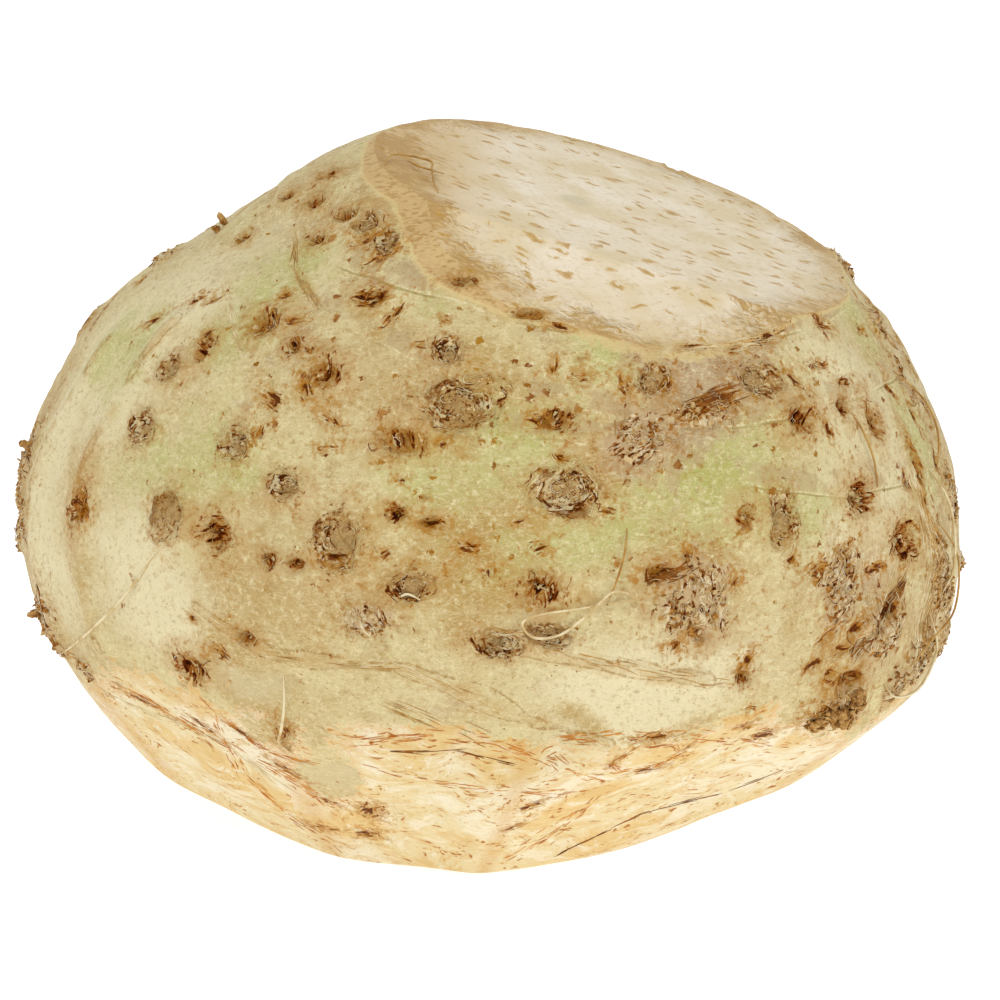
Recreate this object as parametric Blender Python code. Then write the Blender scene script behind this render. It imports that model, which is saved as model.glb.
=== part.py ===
"""A trimmed celeriac root, lying on the flat that the knife left underneath.

The whole root is one solid that grew as one piece. Its swollen body is a globe whose reach from its core
is given for a few longitudes and latitudes. Swellings, folds, leaf-base rings and the scars of side roots
raise and sink that skin, and knife cuts take off the leafy crown and the root end.
Longitude 0 points along +X, -90 along -Y, and latitude 90 straight up.
"""

import math
import random

import bmesh
import bpy
import numpy as np
from mathutils import Vector, noise

MM = 0.001

# The body: reach from the core in millimetres, one row per latitude from the bottom up, one column per longitude
CORE_HEIGHT = 46
SCALE_RADIUS = 60  # millimetres of skin to one radian, for sizes given on the skin
LONGITUDE_STEP = 45
LATITUDE_STEP = 22.5
REACH = (
    # 0 right, 45, 90 back, 135, 180 left, 225, 270 front, 315
    (56, 56, 56, 56, 56, 56, 56, 56),
    (60, 60, 58, 59, 61, 60, 58, 59),
    (65, 62, 58, 61, 65, 61.5, 57, 60.5),
    (67, 63, 59, 62, 66, 61.5, 57, 63),
    (66, 63, 60, 63, 69, 63, 59, 63),
    (61, 61, 59, 60, 64, 60, 58, 61.5),
    (59, 58, 57, 55.5, 57, 56, 57, 59),
    (58, 58, 57, 56, 56, 56, 56, 58),
    (56, 56, 56, 56, 56, 56, 56, 56),
)
LUMPS = ((1.9, 1.0), (5.0, 0.45))  # soft unevenness: lumps to one radius, and height in millimetres

# Swellings and hollows: longitude, latitude, half-width in degrees, height in millimetres
SWELLINGS = (
    (-77, -13, 13, 1.2),
    (-112, 6, 12, 0.8),
    (-60, 14, 14, 0.8),
    (-131, 14, 10, -0.8),
    (-81, -16, 4, -0.7),
    (20, 5, 16, 1.2),
    (62, 20, 12, -1.0),
    (98, -6, 15, 1.3),
    (128, 22, 14, 0.9),
    (152, -10, 12, -1.0),
)

# Folds of skin: points as longitude and latitude, height in millimetres (a crease is below 0), half-width in millimetres
FOLDS = (
    (((-91, -2), (-82, -5), (-72, -7), (-64, -9)), 0.8, 1.8),
    (((-129, -1), (-119, -6), (-103, -6), (-94, -10), (-76, -18)), 0.7, 2.2),
    (((-150, 32), (-152, 12), (-148, -10)), 0.8, 2.0),
    (((-163, 26), (-165, 6), (-160, -14)), 0.9, 2.2),
    (((-142, 50), (-135, 45), (-124, 40)), -0.5, 1.0),
    (((-14, 28), (-10, 10), (-14, -8)), -0.6, 1.3),
    (((8, 24), (14, 2), (10, -20)), 0.8, 2.4),
    (((40, 18), (62, 8), (84, 10)), -0.7, 1.6),
    (((95, 26), (100, 6), (92, -16)), 0.8, 2.2),
    (((120, 4), (140, -4), (158, 2)), -0.7, 1.6),
)

# Rings left by the leaf bases: height up the ring axis at which each runs, sway, how deep it is, how wide its lip
RING_AXIS = Vector((0.17, -0.05, 0.984)).normalized()
RINGS = ((84, 1.0, 0.9, 1.1), (76.5, 1.6, 0.8, 1.2), (67.5, 2.0, 0.4, 1.4))

# Scars of side roots: longitude, latitude, half-width and half-height in millimetres
EYES = (
    (-144, 26, 1.9, 1.9), (-127, 19, 2.2, 2.2), (-135, 9, 2.2, 3.2), (-81, 16, 4.0, 3.0), (-96, 27, 5.0, 3.6),
    (-101, 4, 2.8, 2.0), (-144, 18, 2.0, 2.0), (-68, 29, 2.4, 2.4), (-98, 34, 2.0, 2.0), (-110, 9, 3.0, 3.4),
    (-54, 10, 2.0, 3.6), (-52, 27, 3.0, 2.4), (-90, -3, 3.2, 1.7), (-84, -2, 3.0, 1.5), (-118, 15, 2.1, 1.8),
)
PITS = (
    (-132, 36, 2.9, 2.6), (-124, 33, 1.4, 1.4), (-117, 30, 2.9, 2.2), (-104, 22, 4.0, 2.0), (-85, 4, 3.2, 2.2),
    (-39, 10, 3.2, 2.8), (-82, 25, 2.4, 1.6), (-97, 45, 2.4, 1.2), (-84, 40, 3.6, 1.3), (-135, 51, 1.8, 1.6),
    (-131, 56, 2.6, 2.0), (-146, 57, 2.0, 1.6), (-114, 42, 2.2, 1.6), (-157, 47, 1.6, 1.6), (-140, 30, 1.4, 2.2),
    (-47, 21, 2.6, 1.9), (-31, 18, 1.9, 3.0), (-37, 21, 1.4, 2.0), (-103, 13, 1.6, 1.2), (-99, 12, 1.5, 0.9),
    (-119, 6, 1.6, 1.2), (-115, 6, 1.6, 1.0), (-132, -10, 2.4, 2.2), (-122, -4, 1.6, 1.0), (-59, 11, 1.5, 1.8),
    (-31, 3, 3.3, 2.8), (-70, 5, 2.6, 1.6), (-65, -3, 1.5, 1.3), (-151, 7, 1.8, 4.0), (-127, 8, 2.8, 2.6),
    (-42, -12, 3.0, 2.2), (-59, -9, 1.6, 1.4),
)
CRUSTS = (
    (-66, 2, 4.6, 5.4), (-71, 22, 4.3, 3.6), (-62, 24, 5.4, 1.6), (-106, 0, 3.2, 2.0), (-45, 0, 3.6, 4.6),
    (-36, -7, 4.2, 4.2), (-171, 7, 2.6, 6.0), (-162, -11, 2.8, 5.0), (-22, -3, 3.2, 6.0), (-24, -13, 4.0, 4.0),
    (-42, -17, 5.0, 3.4), (-14, 20, 1.6, 5.0),
)
HIDDEN_SCARS = 70  # drawn round the sides that face away, from longitude -8 round to 184
HIDDEN_GAP = 8  # degrees between the middles of drawn scars

# The knife cuts, each a point in millimetres and the direction that the slice fell away in
CROWN_CENTRE = Vector((16.5, -4.5, 89.2))
CROWN_AXIS = Vector((0.274, -0.101, 0.956)).normalized()
CROWN_TRIM_POINT = Vector((11.5, -35.3, 85.0))
CROWN_TRIM_AXIS = Vector((0.215, -0.414, 0.884)).normalized()
# Slices round the root end: the longitude each faces, its slope from level, how far out it starts at the bottom
BASE_SLICES = (
    (-152, 52, 42), (-130, 50, 34), (-108, 47, 30.5), (-66, 43, 27.5), (-28, 25, 24.5), (-30, 43, 36),
    (-6, 38, 32.5), (50, 42, 31), (95, 44, 30), (140, 44, 33), (180, 52, 46), (-160, 22, 32),
)

GRID_CELLS = 84  # along each edge of the cube that is blown up into the globe
SKIN_TRIANGLES = 12500  # before the knife cuts, which take about a sixth of them away
SKIN_COLOUR = (0.68, 0.60, 0.36)


def globe_directions(cells):
    """A cube's grid blown up into even directions on a globe, as a bmesh of radius one."""
    globe = bmesh.new()
    bmesh.ops.create_cube(globe, size=2)
    bmesh.ops.subdivide_edges(globe, edges=globe.edges[:], cuts=cells - 1, use_grid_fill=True)
    for vertex in globe.verts:
        evened = Vector(math.tan(side * math.pi / 4) for side in vertex.co)
        vertex.co = evened.normalized()
    return globe


def spline_weights(t):
    """Catmull-Rom weights of the four values around a place a share t of the way from the second to the third."""
    return (
        (-t + 2 * t**2 - t**3) / 2,
        (2 - 5 * t**2 + 3 * t**3) / 2,
        (t + 4 * t**2 - 3 * t**3) / 2,
        (-(t**2) + t**3) / 2,
    )


def reach_towards(directions):
    """The body's reach in millimetres along each direction, smooth across the poles too."""
    table = np.array(REACH)
    columns = table.shape[1]
    beyond_pole = np.roll(table, columns // 2, axis=1)
    table = np.vstack([beyond_pole[1], table, beyond_pole[-2]])
    longitude = np.degrees(np.arctan2(directions[:, 1], directions[:, 0])) % 360
    latitude = np.degrees(np.arcsin(np.clip(directions[:, 2], -1, 1)))
    column = longitude / LONGITUDE_STEP
    row = np.clip((latitude + 90) / LATITUDE_STEP, 0, len(REACH) - 1 - 1e-9)
    first_column, first_row = np.floor(column).astype(int), np.floor(row).astype(int)
    reach = np.zeros(len(directions))
    for i, row_weight in enumerate(spline_weights(row - first_row)):
        for j, column_weight in enumerate(spline_weights(column - first_column)):
            value = table[first_row + i, (first_column + j - 1) % columns]
            reach += row_weight * column_weight * value
    return reach


def direction_of(longitude, latitude):
    longitude, latitude = math.radians(longitude), math.radians(latitude)
    flat = math.cos(latitude)
    return np.array((math.cos(longitude) * flat, math.sin(longitude) * flat, math.sin(latitude)))


def on_skin(directions, longitude, latitude):
    """Millimetres east and north of a place on the skin, far off for the other side of the globe."""
    middle = direction_of(longitude, latitude)
    east = direction_of(longitude + 90, 0)
    north = np.cross(middle, east)
    facing = np.clip(directions @ middle, 1e-3, None)
    return directions @ east / facing * SCALE_RADIUS, directions @ north / facing * SCALE_RADIUS


def bump(distance):
    return np.exp(-(distance**2))


def swelling_height(directions):
    height = np.zeros(len(directions))
    for longitude, latitude, half_width, rise in SWELLINGS:
        away = np.arccos(np.clip(directions @ direction_of(longitude, latitude), -1, 1))
        height += rise * bump(away / math.radians(half_width))
    return height


def fold_height(directions):
    """Ridges and creases along lines on the skin, fading towards both ends."""
    height = np.zeros(len(directions))
    for points, rise, half_width in FOLDS:
        near = np.full(len(directions), 1e6)
        for start, end in zip(points, points[1:]):
            a, b = direction_of(*start), direction_of(*end)
            along = np.clip((directions - a) @ (b - a) / ((b - a) @ (b - a)), 0, 1)
            away = np.linalg.norm(directions - a - along[:, None] * (b - a), axis=1) * SCALE_RADIUS
            near = np.minimum(near, away)
        height += rise * bump(near / half_width)
    return height


def ring_height(places, directions):
    """Leaf-base rings: a lip that overhangs a narrow crease, swaying as it runs round."""
    height = np.zeros(len(directions))
    up = places @ np.array(RING_AXIS)
    longitude = np.arctan2(directions[:, 1], directions[:, 0])
    for level, sway, depth, lip in RINGS:
        wave = np.sin(2 * longitude + level) + 0.5 * np.sin(5 * longitude - level)
        above = up - level - sway * wave
        strength = 0.65 + 0.35 * np.sin(3 * longitude + 2 * level)
        height += depth * strength * (0.8 * bump((above - lip) / lip) - bump(above / (0.7 * lip)))
    return height


def scar_height(directions, scars, profile):
    height = np.zeros(len(directions))
    for longitude, latitude, half_width, half_height in scars:
        east, north = on_skin(directions, longitude, latitude)
        share = np.hypot(east / half_width, north / half_height)
        height += profile(share)
    return height


def eye_profile(share):
    """A shallow dish with a raised rim and a plug of cork in its middle."""
    return 0.6 * bump((share - 1.05) / 0.3) - 0.7 * bump((share - 0.6) / 0.28) + 0.1 * bump(share / 0.3)


def pit_profile(share):
    """A ragged little hole inside a low swelling."""
    return 0.35 * bump((share - 1.15) / 0.35) - 1.1 * bump(share / 0.75)


def crust_profile(share):
    """A patch of cork standing a little proud."""
    return 0.8 * np.exp(-(share**4))


def hidden_scars():
    """Seeded scars for the sides that face away, never two in one place: a list each of eyes, pits and crusts."""
    rng = random.Random(31)
    drawn = []
    middles = []
    for _ in range(4000):
        longitude, latitude = rng.uniform(-8, 184), math.degrees(math.asin(rng.uniform(-0.42, 0.80)))
        middle = direction_of(longitude, latitude)
        if len(drawn) < HIDDEN_SCARS and all(middle @ other < math.cos(math.radians(HIDDEN_GAP)) for other in middles):
            size = rng.choice((1.4, 1.8, 2.2, 2.8, 3.6))
            drawn.append((longitude, latitude, size * rng.uniform(0.9, 1.3), size * rng.uniform(0.6, 1.1)))
            middles.append(middle)
    return drawn[0::3], drawn[1::3], drawn[2::6]


def skin_places(directions):
    """Where the skin lies along each direction, in millimetres from the middle of the bottom."""
    reach = reach_towards(directions)
    for lumps, rise in LUMPS:
        reach += rise * np.array([noise.noise(Vector(direction) * lumps) for direction in directions])
    reach += swelling_height(directions) + fold_height(directions)
    reach += ring_height(directions * reach[:, None] + np.array((0, 0, CORE_HEIGHT)), directions)
    hidden_eyes, hidden_pits, hidden_crusts = hidden_scars()
    reach += scar_height(directions, list(EYES) + hidden_eyes, eye_profile)
    reach += scar_height(directions, list(PITS) + hidden_pits, pit_profile)
    reach += scar_height(directions, list(CRUSTS) + hidden_crusts, crust_profile)
    return directions * reach[:, None] + np.array((0, 0, CORE_HEIGHT))


def fewer_triangles(body):
    """Lets smooth stretches of skin go coarse and keeps triangles at scars and folds."""
    bmesh.ops.triangulate(body, faces=body.faces[:])
    share = SKIN_TRIANGLES / len(body.faces)
    full = bpy.data.meshes.new("skin")
    body.to_mesh(full)
    body.free()
    skin = bpy.data.objects.new("skin", full)
    bpy.context.scene.collection.objects.link(skin)
    skin.modifiers.new("fewer", "DECIMATE").ratio = share
    thinned = bmesh.new()
    thinned.from_object(skin, bpy.context.evaluated_depsgraph_get())
    bpy.data.objects.remove(skin)
    return thinned


def cut(body, point, axis):
    """Slices off what lies beyond the plane, and closes the cut with one flat face."""
    everything = body.verts[:] + body.edges[:] + body.faces[:]
    made = bmesh.ops.bisect_plane(
        body, geom=everything, dist=1e-6, plane_co=point * MM, plane_no=axis, clear_outer=True
    )
    rim = [element for element in made["geom_cut"] if isinstance(element, bmesh.types.BMEdge)]
    bmesh.ops.edgenet_fill(body, edges=rim)
    for edge in rim:
        edge.smooth = False


def trim(body):
    """The cook's knife: crown off, a strip along its front edge, slices round the root end, and the flat."""
    cut(body, CROWN_CENTRE, CROWN_AXIS)
    cut(body, CROWN_TRIM_POINT, CROWN_TRIM_AXIS)
    for longitude, slope, start in BASE_SLICES:
        outward = Vector(direction_of(longitude, 0))
        slope = math.radians(slope)
        cut(body, outward * start, outward * math.sin(slope) - Vector((0, 0, math.cos(slope))))
    cut(body, Vector((0, 0, 0)), Vector((0, 0, -1)))


def centre(body):
    """Moves the root so that the middle of its footprint's box is the origin."""
    low = Vector(min(vertex.co[side] for vertex in body.verts) for side in range(2)).to_3d()
    high = Vector(max(vertex.co[side] for vertex in body.verts) for side in range(2)).to_3d()
    bmesh.ops.translate(body, verts=body.verts[:], vec=-(low + high) / 2)


def flesh_material():
    material = bpy.data.materials.new("celeriac_skin")
    material.use_nodes = True
    shader = material.node_tree.nodes["Principled BSDF"]
    shader.inputs["Base Color"].default_value = (*SKIN_COLOUR, 1)
    shader.inputs["Roughness"].default_value = 0.75
    return material


def main():
    for old in bpy.data.objects[:]:
        bpy.data.objects.remove(old)
    body = globe_directions(GRID_CELLS)
    places = skin_places(np.array([vertex.co for vertex in body.verts]))
    for vertex, place in zip(body.verts, places):
        vertex.co = Vector(place) * MM
    for face in body.faces:
        face.smooth = True
    body = fewer_triangles(body)
    trim(body)
    centre(body)
    mesh = bpy.data.meshes.new("celeriac_root")
    body.to_mesh(mesh)
    body.free()
    mesh.materials.append(flesh_material())
    root = bpy.data.objects.new("celeriac_root", mesh)
    collection = bpy.data.collections.new("celeriac_root")
    bpy.context.scene.collection.children.link(collection)
    collection.objects.link(root)


main()
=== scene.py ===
"""A trimmed celeriac root on a pale floor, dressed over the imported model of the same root."""

import math
import random
from functools import partial

import bmesh
import bpy
import numpy as np
from mathutils import Matrix, Vector, noise
from mathutils.bvhtree import BVHTree


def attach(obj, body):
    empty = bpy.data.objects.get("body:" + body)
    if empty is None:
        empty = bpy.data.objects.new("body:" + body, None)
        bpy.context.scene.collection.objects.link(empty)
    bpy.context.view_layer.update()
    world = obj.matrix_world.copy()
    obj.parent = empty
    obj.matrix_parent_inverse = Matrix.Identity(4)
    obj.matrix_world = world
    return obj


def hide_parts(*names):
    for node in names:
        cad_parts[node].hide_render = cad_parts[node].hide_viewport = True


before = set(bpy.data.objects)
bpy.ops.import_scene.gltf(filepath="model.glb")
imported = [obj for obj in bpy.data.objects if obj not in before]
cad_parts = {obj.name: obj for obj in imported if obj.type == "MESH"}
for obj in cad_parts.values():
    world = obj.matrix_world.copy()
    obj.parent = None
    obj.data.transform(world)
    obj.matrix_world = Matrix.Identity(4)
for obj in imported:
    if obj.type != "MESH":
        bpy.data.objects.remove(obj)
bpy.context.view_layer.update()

# ---- The swollen root ----
# One solid that grew as one piece: a globe of white flesh under a thin greenish skin. Swellings and folds
# come from uneven growth, rings from the bases of old leaves, and scars from side roots that were pulled off.
# A knife took the leafy crown off at a slant and pared the root end to a flat.

MM = 0.001
CORE = np.array((0, 0, 46))  # millimetres above the flat, as every size of the root below
SCALE_RADIUS = 60  # millimetres of skin to one radian
LONGITUDE_STEP = 45
LATITUDE_STEP = 22.5
# Reach from the core: one row per latitude from the bottom up, one column per longitude from +X round by +Y
REACH = (
    (56, 56, 56, 56, 56, 56, 56, 56),
    (60, 60, 58, 59, 61, 60, 58, 59),
    (65, 62, 58, 61, 65, 61.5, 57, 60.5),
    (67, 63, 59, 62, 66, 61.5, 57, 63),
    (66, 63, 60, 63, 69, 63, 59, 63),
    (61, 61, 59, 60, 64, 60, 58, 61.5),
    (59, 58, 57, 55.5, 57, 56, 57, 59),
    (58, 58, 57, 56, 56, 56, 56, 58),
    (56, 56, 56, 56, 56, 56, 56, 56),
)
LUMPS = ((1.9, 1.0), (5.0, 0.45), (14, 0.16), (33, 0.07))  # lumps to one radius, and their height

# Longitude, latitude, half-width in degrees, height
SWELLINGS = (
    (-77, -13, 13, 1.2),
    (-112, 6, 12, 0.8),
    (-60, 14, 14, 0.8),
    (-131, 14, 10, -0.8),
    (-81, -16, 4, -0.7),
    (20, 5, 16, 1.2),
    (62, 20, 12, -1.0),
    (98, -6, 15, 1.3),
    (128, 22, 14, 0.9),
    (152, -10, 12, -1.0),
)
# Points as longitude and latitude, height (a crease is below 0), half-width
FOLDS = (
    (((-91, -2), (-82, -5), (-72, -7), (-64, -9)), 0.8, 1.8),
    (((-129, -1), (-119, -6), (-103, -6), (-94, -10), (-76, -18)), 0.7, 2.2),
    (((-150, 32), (-152, 12), (-148, -10)), 0.8, 2.0),
    (((-163, 26), (-165, 6), (-160, -14)), 0.9, 2.2),
    (((-142, 50), (-135, 45), (-124, 40)), -0.5, 1.0),
    (((-14, 28), (-10, 10), (-14, -8)), -0.6, 1.3),
    (((8, 24), (14, 2), (10, -20)), 0.8, 2.4),
    (((40, 18), (62, 8), (84, 10)), -0.7, 1.6),
    (((95, 26), (100, 6), (92, -16)), 0.8, 2.2),
    (((120, 4), (140, -4), (158, 2)), -0.7, 1.6),
)
# Leaf-base rings: height up their axis, sway, depth, width of the lip, and the longitudes where they show
RING_AXIS = np.array(Vector((0.17, -0.05, 0.984)).normalized())
RINGS = (
    (84, 1.0, 0.9, 1.1, ((-120, -16), (40, 140))),
    (76.5, 1.6, 0.8, 1.2, ((-110, -2), (70, 170))),
    (67.5, 2.0, 0.4, 1.4, ((-54, -22), (100, 130))),
)
RING_ENDS = 8  # degrees over which a ring dies away
# Side-root scars: longitude, latitude, half-width and half-height
EYES = (
    (-144, 26, 1.9, 1.9), (-127, 19, 2.2, 2.2), (-135, 9, 2.2, 3.2), (-81, 16, 4.0, 3.0), (-96, 27, 5.0, 3.6),
    (-101, 4, 2.8, 2.0), (-144, 18, 2.0, 2.0), (-68, 29, 2.4, 2.4), (-98, 34, 2.0, 2.0), (-110, 9, 3.0, 3.4),
    (-54, 10, 2.0, 3.6), (-52, 27, 3.0, 2.4), (-90, -3, 3.2, 1.7), (-84, -2, 3.0, 1.5), (-118, 15, 2.1, 1.8),
    (-123.5, 54.6, 2.2, 1.8), (-115.4, 51.6, 2.2, 2.0),
)
PITS = (
    (-132, 36, 2.9, 2.6), (-124, 33, 1.4, 1.4), (-117, 30, 2.9, 2.2), (-104, 22, 4.0, 2.0),
    (-85, 4, 3.2, 2.2),
    (-39, 10, 3.2, 2.8), (-82, 25, 2.4, 1.6), (-97, 45, 2.4, 1.2), (-84, 40, 3.6, 1.3), (-135, 51, 1.8, 1.6),
    (-131, 56, 2.6, 2.0), (-146, 57, 2.0, 1.6), (-114, 42, 2.2, 1.6), (-157, 47, 1.6, 1.6),
    (-140, 30, 1.4, 2.2),
    (-47, 21, 2.6, 1.9), (-31, 18, 1.9, 3.0), (-37, 21, 1.4, 2.0), (-103, 13, 1.6, 1.2), (-99, 12, 1.5, 0.9),
    (-119, 6, 1.6, 1.2), (-115, 6, 1.6, 1.0), (-132, -10, 2.4, 2.2), (-122, -4, 1.6, 1.0),
    (-59, 11, 1.5, 1.8),
    (-31, 3, 3.3, 2.8), (-70, 5, 2.6, 1.6), (-65, -3, 1.5, 1.3), (-151, 7, 1.8, 4.0), (-127, 8, 2.8, 2.6),
    (-41.5, -12.8, 3.0, 2.0), (-59, -9, 1.6, 1.4), (-154, 62, 2.2, 1.3, 30), (-159.5, 56, 1.7, 1.4),
    (-36, -4.5, 4.8, 1.7, 45), (-40.5, -8, 2.4, 1.3, 45), (-23.5, 11, 1.1, 3.2),
)
CRUSTS = (
    (-66, 2, 4.6, 5.4), (-71, 22, 4.3, 3.6), (-62, 24, 5.4, 1.6), (-106, 0, 3.2, 2.0), (-45, 0, 3.6, 4.6),
    (-36, -7, 4.2, 4.2), (-171, 7, 2.6, 6.0), (-162, -11, 2.8, 5.0), (-22, -3, 3.2, 6.0),
    (-24, -13, 4.0, 4.0),
    (-42, -17, 5.0, 3.4), (-14, 20, 1.6, 5.0), (-179, 37, 1.8, 1.8), (-178, -4, 2.0, 2.4),
    (-150, -24, 1.6, 1.4),
    (-12, 4, 2.6, 4.2), (-15, -14, 2.4, 3.2), (-10, 28, 2.0, 2.6), (-18, -8, 2.6, 4.0), (-30, -16, 2.6, 2.4),
    (-167, 1, 2.0, 3.0), (-156, -16, 1.8, 1.8),
)
HIDDEN_SCARS = 70
HIDDEN_GAP = 8  # degrees between two of them at the least
HIDDEN_TRIES = 4000  # places tried before the drawing stops
# Short stains where small roots tore off: longitude, latitude, half-length, half-width, degrees from level
STAINS = (
    (-72, 28.5, 1.7, 0.8, -65), (-66, 28, 1.4, 0.7, 70), (-45, 26, 1.7, 0.8, -60), (-39, 27, 2.6, 0.7, -10),
    (-35, 24, 1.1, 0.8, 10), (-21, 21, 2.1, 0.9, -75), (-42, 19, 1.5, 0.8, -70), (-23, 12, 2.8, 1.0, -78),
    (-27, 9, 1.3, 0.8, -80), (-23, 6, 1.1, 0.8, 90), (-53, 5, 0.8, 0.7, 20), (-61, 3.5, 0.8, 0.7, 30),
    (-68, -4, 1.1, 0.9, 45), (-59, -7, 2.0, 0.8, 55), (-44, 4.5, 1.9, 0.7, 15), (-49, 3, 2.0, 0.9, 25),
    (-38, 1, 2.4, 0.7, -5), (-42, -6, 1.9, 0.9, 40), (-47, -6, 2.0, 0.8, 30), (-36, -5, 2.8, 1.1, 35),
    (-57, -14, 0.8, 0.7, 0), (-150, 6, 1.3, 1.0, -50), (-124, 21, 1.0, 0.9, 80), (-110, 7, 1.6, 0.7, 0),
    (-114, 20, 1.3, 0.7, 20), (-114, 24, 2.1, 0.9, -30), (-98, 22, 1.0, 0.7, 0), (-84.5, 25, 1.4, 0.9, -20),
    (-82, 20.5, 0.9, 0.7, -40), (-76, 13, 1.0, 0.7, 0), (-85, 9, 1.2, 0.9, 20), (-91, 6, 0.9, 0.9, 90),
    (-94, 9, 1.5, 0.9, 0), (-67, 7, 0.8, 0.7, 40), (-70, 5.5, 2.5, 0.9, 0), (-66, -2, 1.3, 1.0, 30),
    (-103, 17, 0.7, 0.6, 0), (-100, 15, 0.7, 0.6, 0), (-98.5, 12.3, 1.9, 0.8, -3), (-147, 37, 1.6, 0.7, 40),
    (-102.5, 35, 0.8, 0.7, 0), (-82, 32, 1.3, 0.7, 80), (-115, 49, 2.7, 0.9, 38), (-121, 52, 2.2, 0.7, 30),
    (-95.5, 45, 2.3, 0.9, -12), (-112, 42.5, 1.5, 1.1, 0), (-108.5, 40, 2.3, 0.9, 65),
    (-99.5, 39, 0.9, 0.7, 0),
    (-80, 37.6, 1.5, 0.6, -20), (-77.5, 33, 0.7, 0.6, 0), (-47, 32, 3.0, 0.9, 8), (-32, 32, 1.7, 0.9, -30),
    (-20, 29, 1.1, 0.9, 0), (-63, 24.4, 2.8, 1.1, 20), (-58, 25.5, 1.6, 1.1, 60), (-78, 30.4, 1.5, 1.0, 0),
    (-124, 25.6, 1.9, 1.1, -20), (-119, 27.5, 1.7, 1.0, -60), (-142, 32, 1.2, 0.7, 45),
    (-151, 36, 2.2, 0.8, 45),
    (-156, 31, 2.0, 0.8, 60), (-132, 41, 1.2, 0.8, 40), (-127, 37, 1.4, 0.8, 20), (-121, 33, 1.5, 0.8, -20),
    (-60, 33, 2.6, 0.8, -12), (-53, 31.5, 1.6, 0.7, 10), (-17, 16, 2.0, 0.8, 85), (-15, 9, 1.8, 0.8, 80),
    (-127, -7, 1.6, 0.9, -30), (-130, -3, 0.9, 0.7, 0), (-104, 8, 0.8, 0.7, 50), (-88, 12, 0.8, 0.6, 0),
    (-118.6, -45.5, 2.0, 1.3, 20), (-128.9, -44.5, 3.0, 1.0, -10), (-114, -38, 2.4, 2.0, 40),
    (-69.3, -17, 3.2, 0.9, 8),
    (-66.5, -26, 2.8, 0.9, 10), (-74, -22, 1.6, 0.7, 80), (-63.5, -21, 1.6, 0.7, 75),
    (-120.6, -18.5, 2.6, 1.4, 60),
    (-129, -20, 2.4, 0.7, -40), (-125, -28, 3.0, 0.9, -55), (-121.5, -36, 2.6, 0.8, -50),
    (-84, -31, 2.6, 0.8, 30),
    (-87, -38, 2.0, 0.7, 40), (-56, -17, 1.2, 0.9, 20), (-51, -20, 1.5, 1.3, 0), (-44, -8, 3.0, 1.3, 10),
    (-48, -9, 2.0, 1.0, 20),
    (-45, -11, 1.6, 1.0, -15), (-43.5, -16.5, 3.2, 2.2, 15), (-137, -21, 2.2, 0.8, -45),
    (-147, -19, 2.6, 0.7, -30), (-84.5, 40, 2.0, 0.8, -12), (-97, 45, 1.8, 1.0, -10),
)
HIDDEN_STAINS = 130
STAIN_DEPTH = 0.5
# The knife cuts: a point, and the direction that the slice fell away in
CROWN_CUTS = (
    (np.array((16.5, -4.5, 89.2)), np.array(Vector((0.274, -0.101, 0.956)).normalized())),
    (np.array((11.5, -35.3, 85.0)), np.array(Vector((0.215, -0.414, 0.884)).normalized())),
)
# Slices round the root end: the longitude each faces, its slope from level, where it starts at the bottom
BASE_SLICES = (
    (-152, 52, 42), (-130, 50, 34), (-108, 47, 30.5), (-66, 43, 27.5), (-28, 25, 24.5), (-30, 43, 36),
    (-6, 38, 32.5), (50, 42, 31), (95, 44, 30), (140, 44, 33), (180, 52, 46), (-160, 22, 32),
)
SLICE_ROUNDING = 1.6  # how far the edges between slices are softened
# Where the skin was scraped off further, or left on (below 0): longitude, latitude, half-width, millimetres
PARED_PATCHES = (
    (-93, -25, 10, 7), (-104, -22, 5, 3), (-82, -20, 4, 2), (-119, -31, 5, -7), (-115, -26, 4, -4),
    (-124, -20, 3, -2),
)
# Longitudes, and how deep the tan rind is scraped there below the crown cut
RIND_WIDTHS = ((-180, -150, -135, -105, -92, -75, 0, 60, 180), (0.4, 1.2, 2.0, 2.0, 0.9, 0.3, 0.4, 0.3, 0.4))
GRID_CELLS = 118  # along each edge of the cube that is blown up into the globe


def direction_of(longitude, latitude):
    longitude, latitude = math.radians(longitude), math.radians(latitude)
    flat = math.cos(latitude)
    return np.array((math.cos(longitude) * flat, math.sin(longitude) * flat, math.sin(latitude)))


def spline_weights(t):
    """Catmull-Rom weights of four values, at a share t of the way from the second to the third."""
    return (
        (-t + 2 * t**2 - t**3) / 2,
        (2 - 5 * t**2 + 3 * t**3) / 2,
        (t + 4 * t**2 - 3 * t**3) / 2,
        (-(t**2) + t**3) / 2,
    )


def reach_towards(directions):
    """The root's plain reach along each direction."""
    table = np.array(REACH)
    columns = table.shape[1]
    beyond_pole = np.roll(table, columns // 2, axis=1)
    table = np.vstack([beyond_pole[1], table, beyond_pole[-2]])
    longitude = np.degrees(np.arctan2(directions[:, 1], directions[:, 0])) % 360
    latitude = np.degrees(np.arcsin(np.clip(directions[:, 2], -1, 1)))
    column = longitude / LONGITUDE_STEP
    row = np.clip((latitude + 90) / LATITUDE_STEP, 0, len(REACH) - 1 - 1e-9)
    first_column, first_row = np.floor(column).astype(int), np.floor(row).astype(int)
    reach = np.zeros(len(directions))
    for i, row_weight in enumerate(spline_weights(row - first_row)):
        for j, column_weight in enumerate(spline_weights(column - first_column)):
            value = table[first_row + i, (first_column + j - 1) % columns]
            reach += row_weight * column_weight * value
    return reach


def bump(distance):
    return np.exp(-(distance**2))


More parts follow.
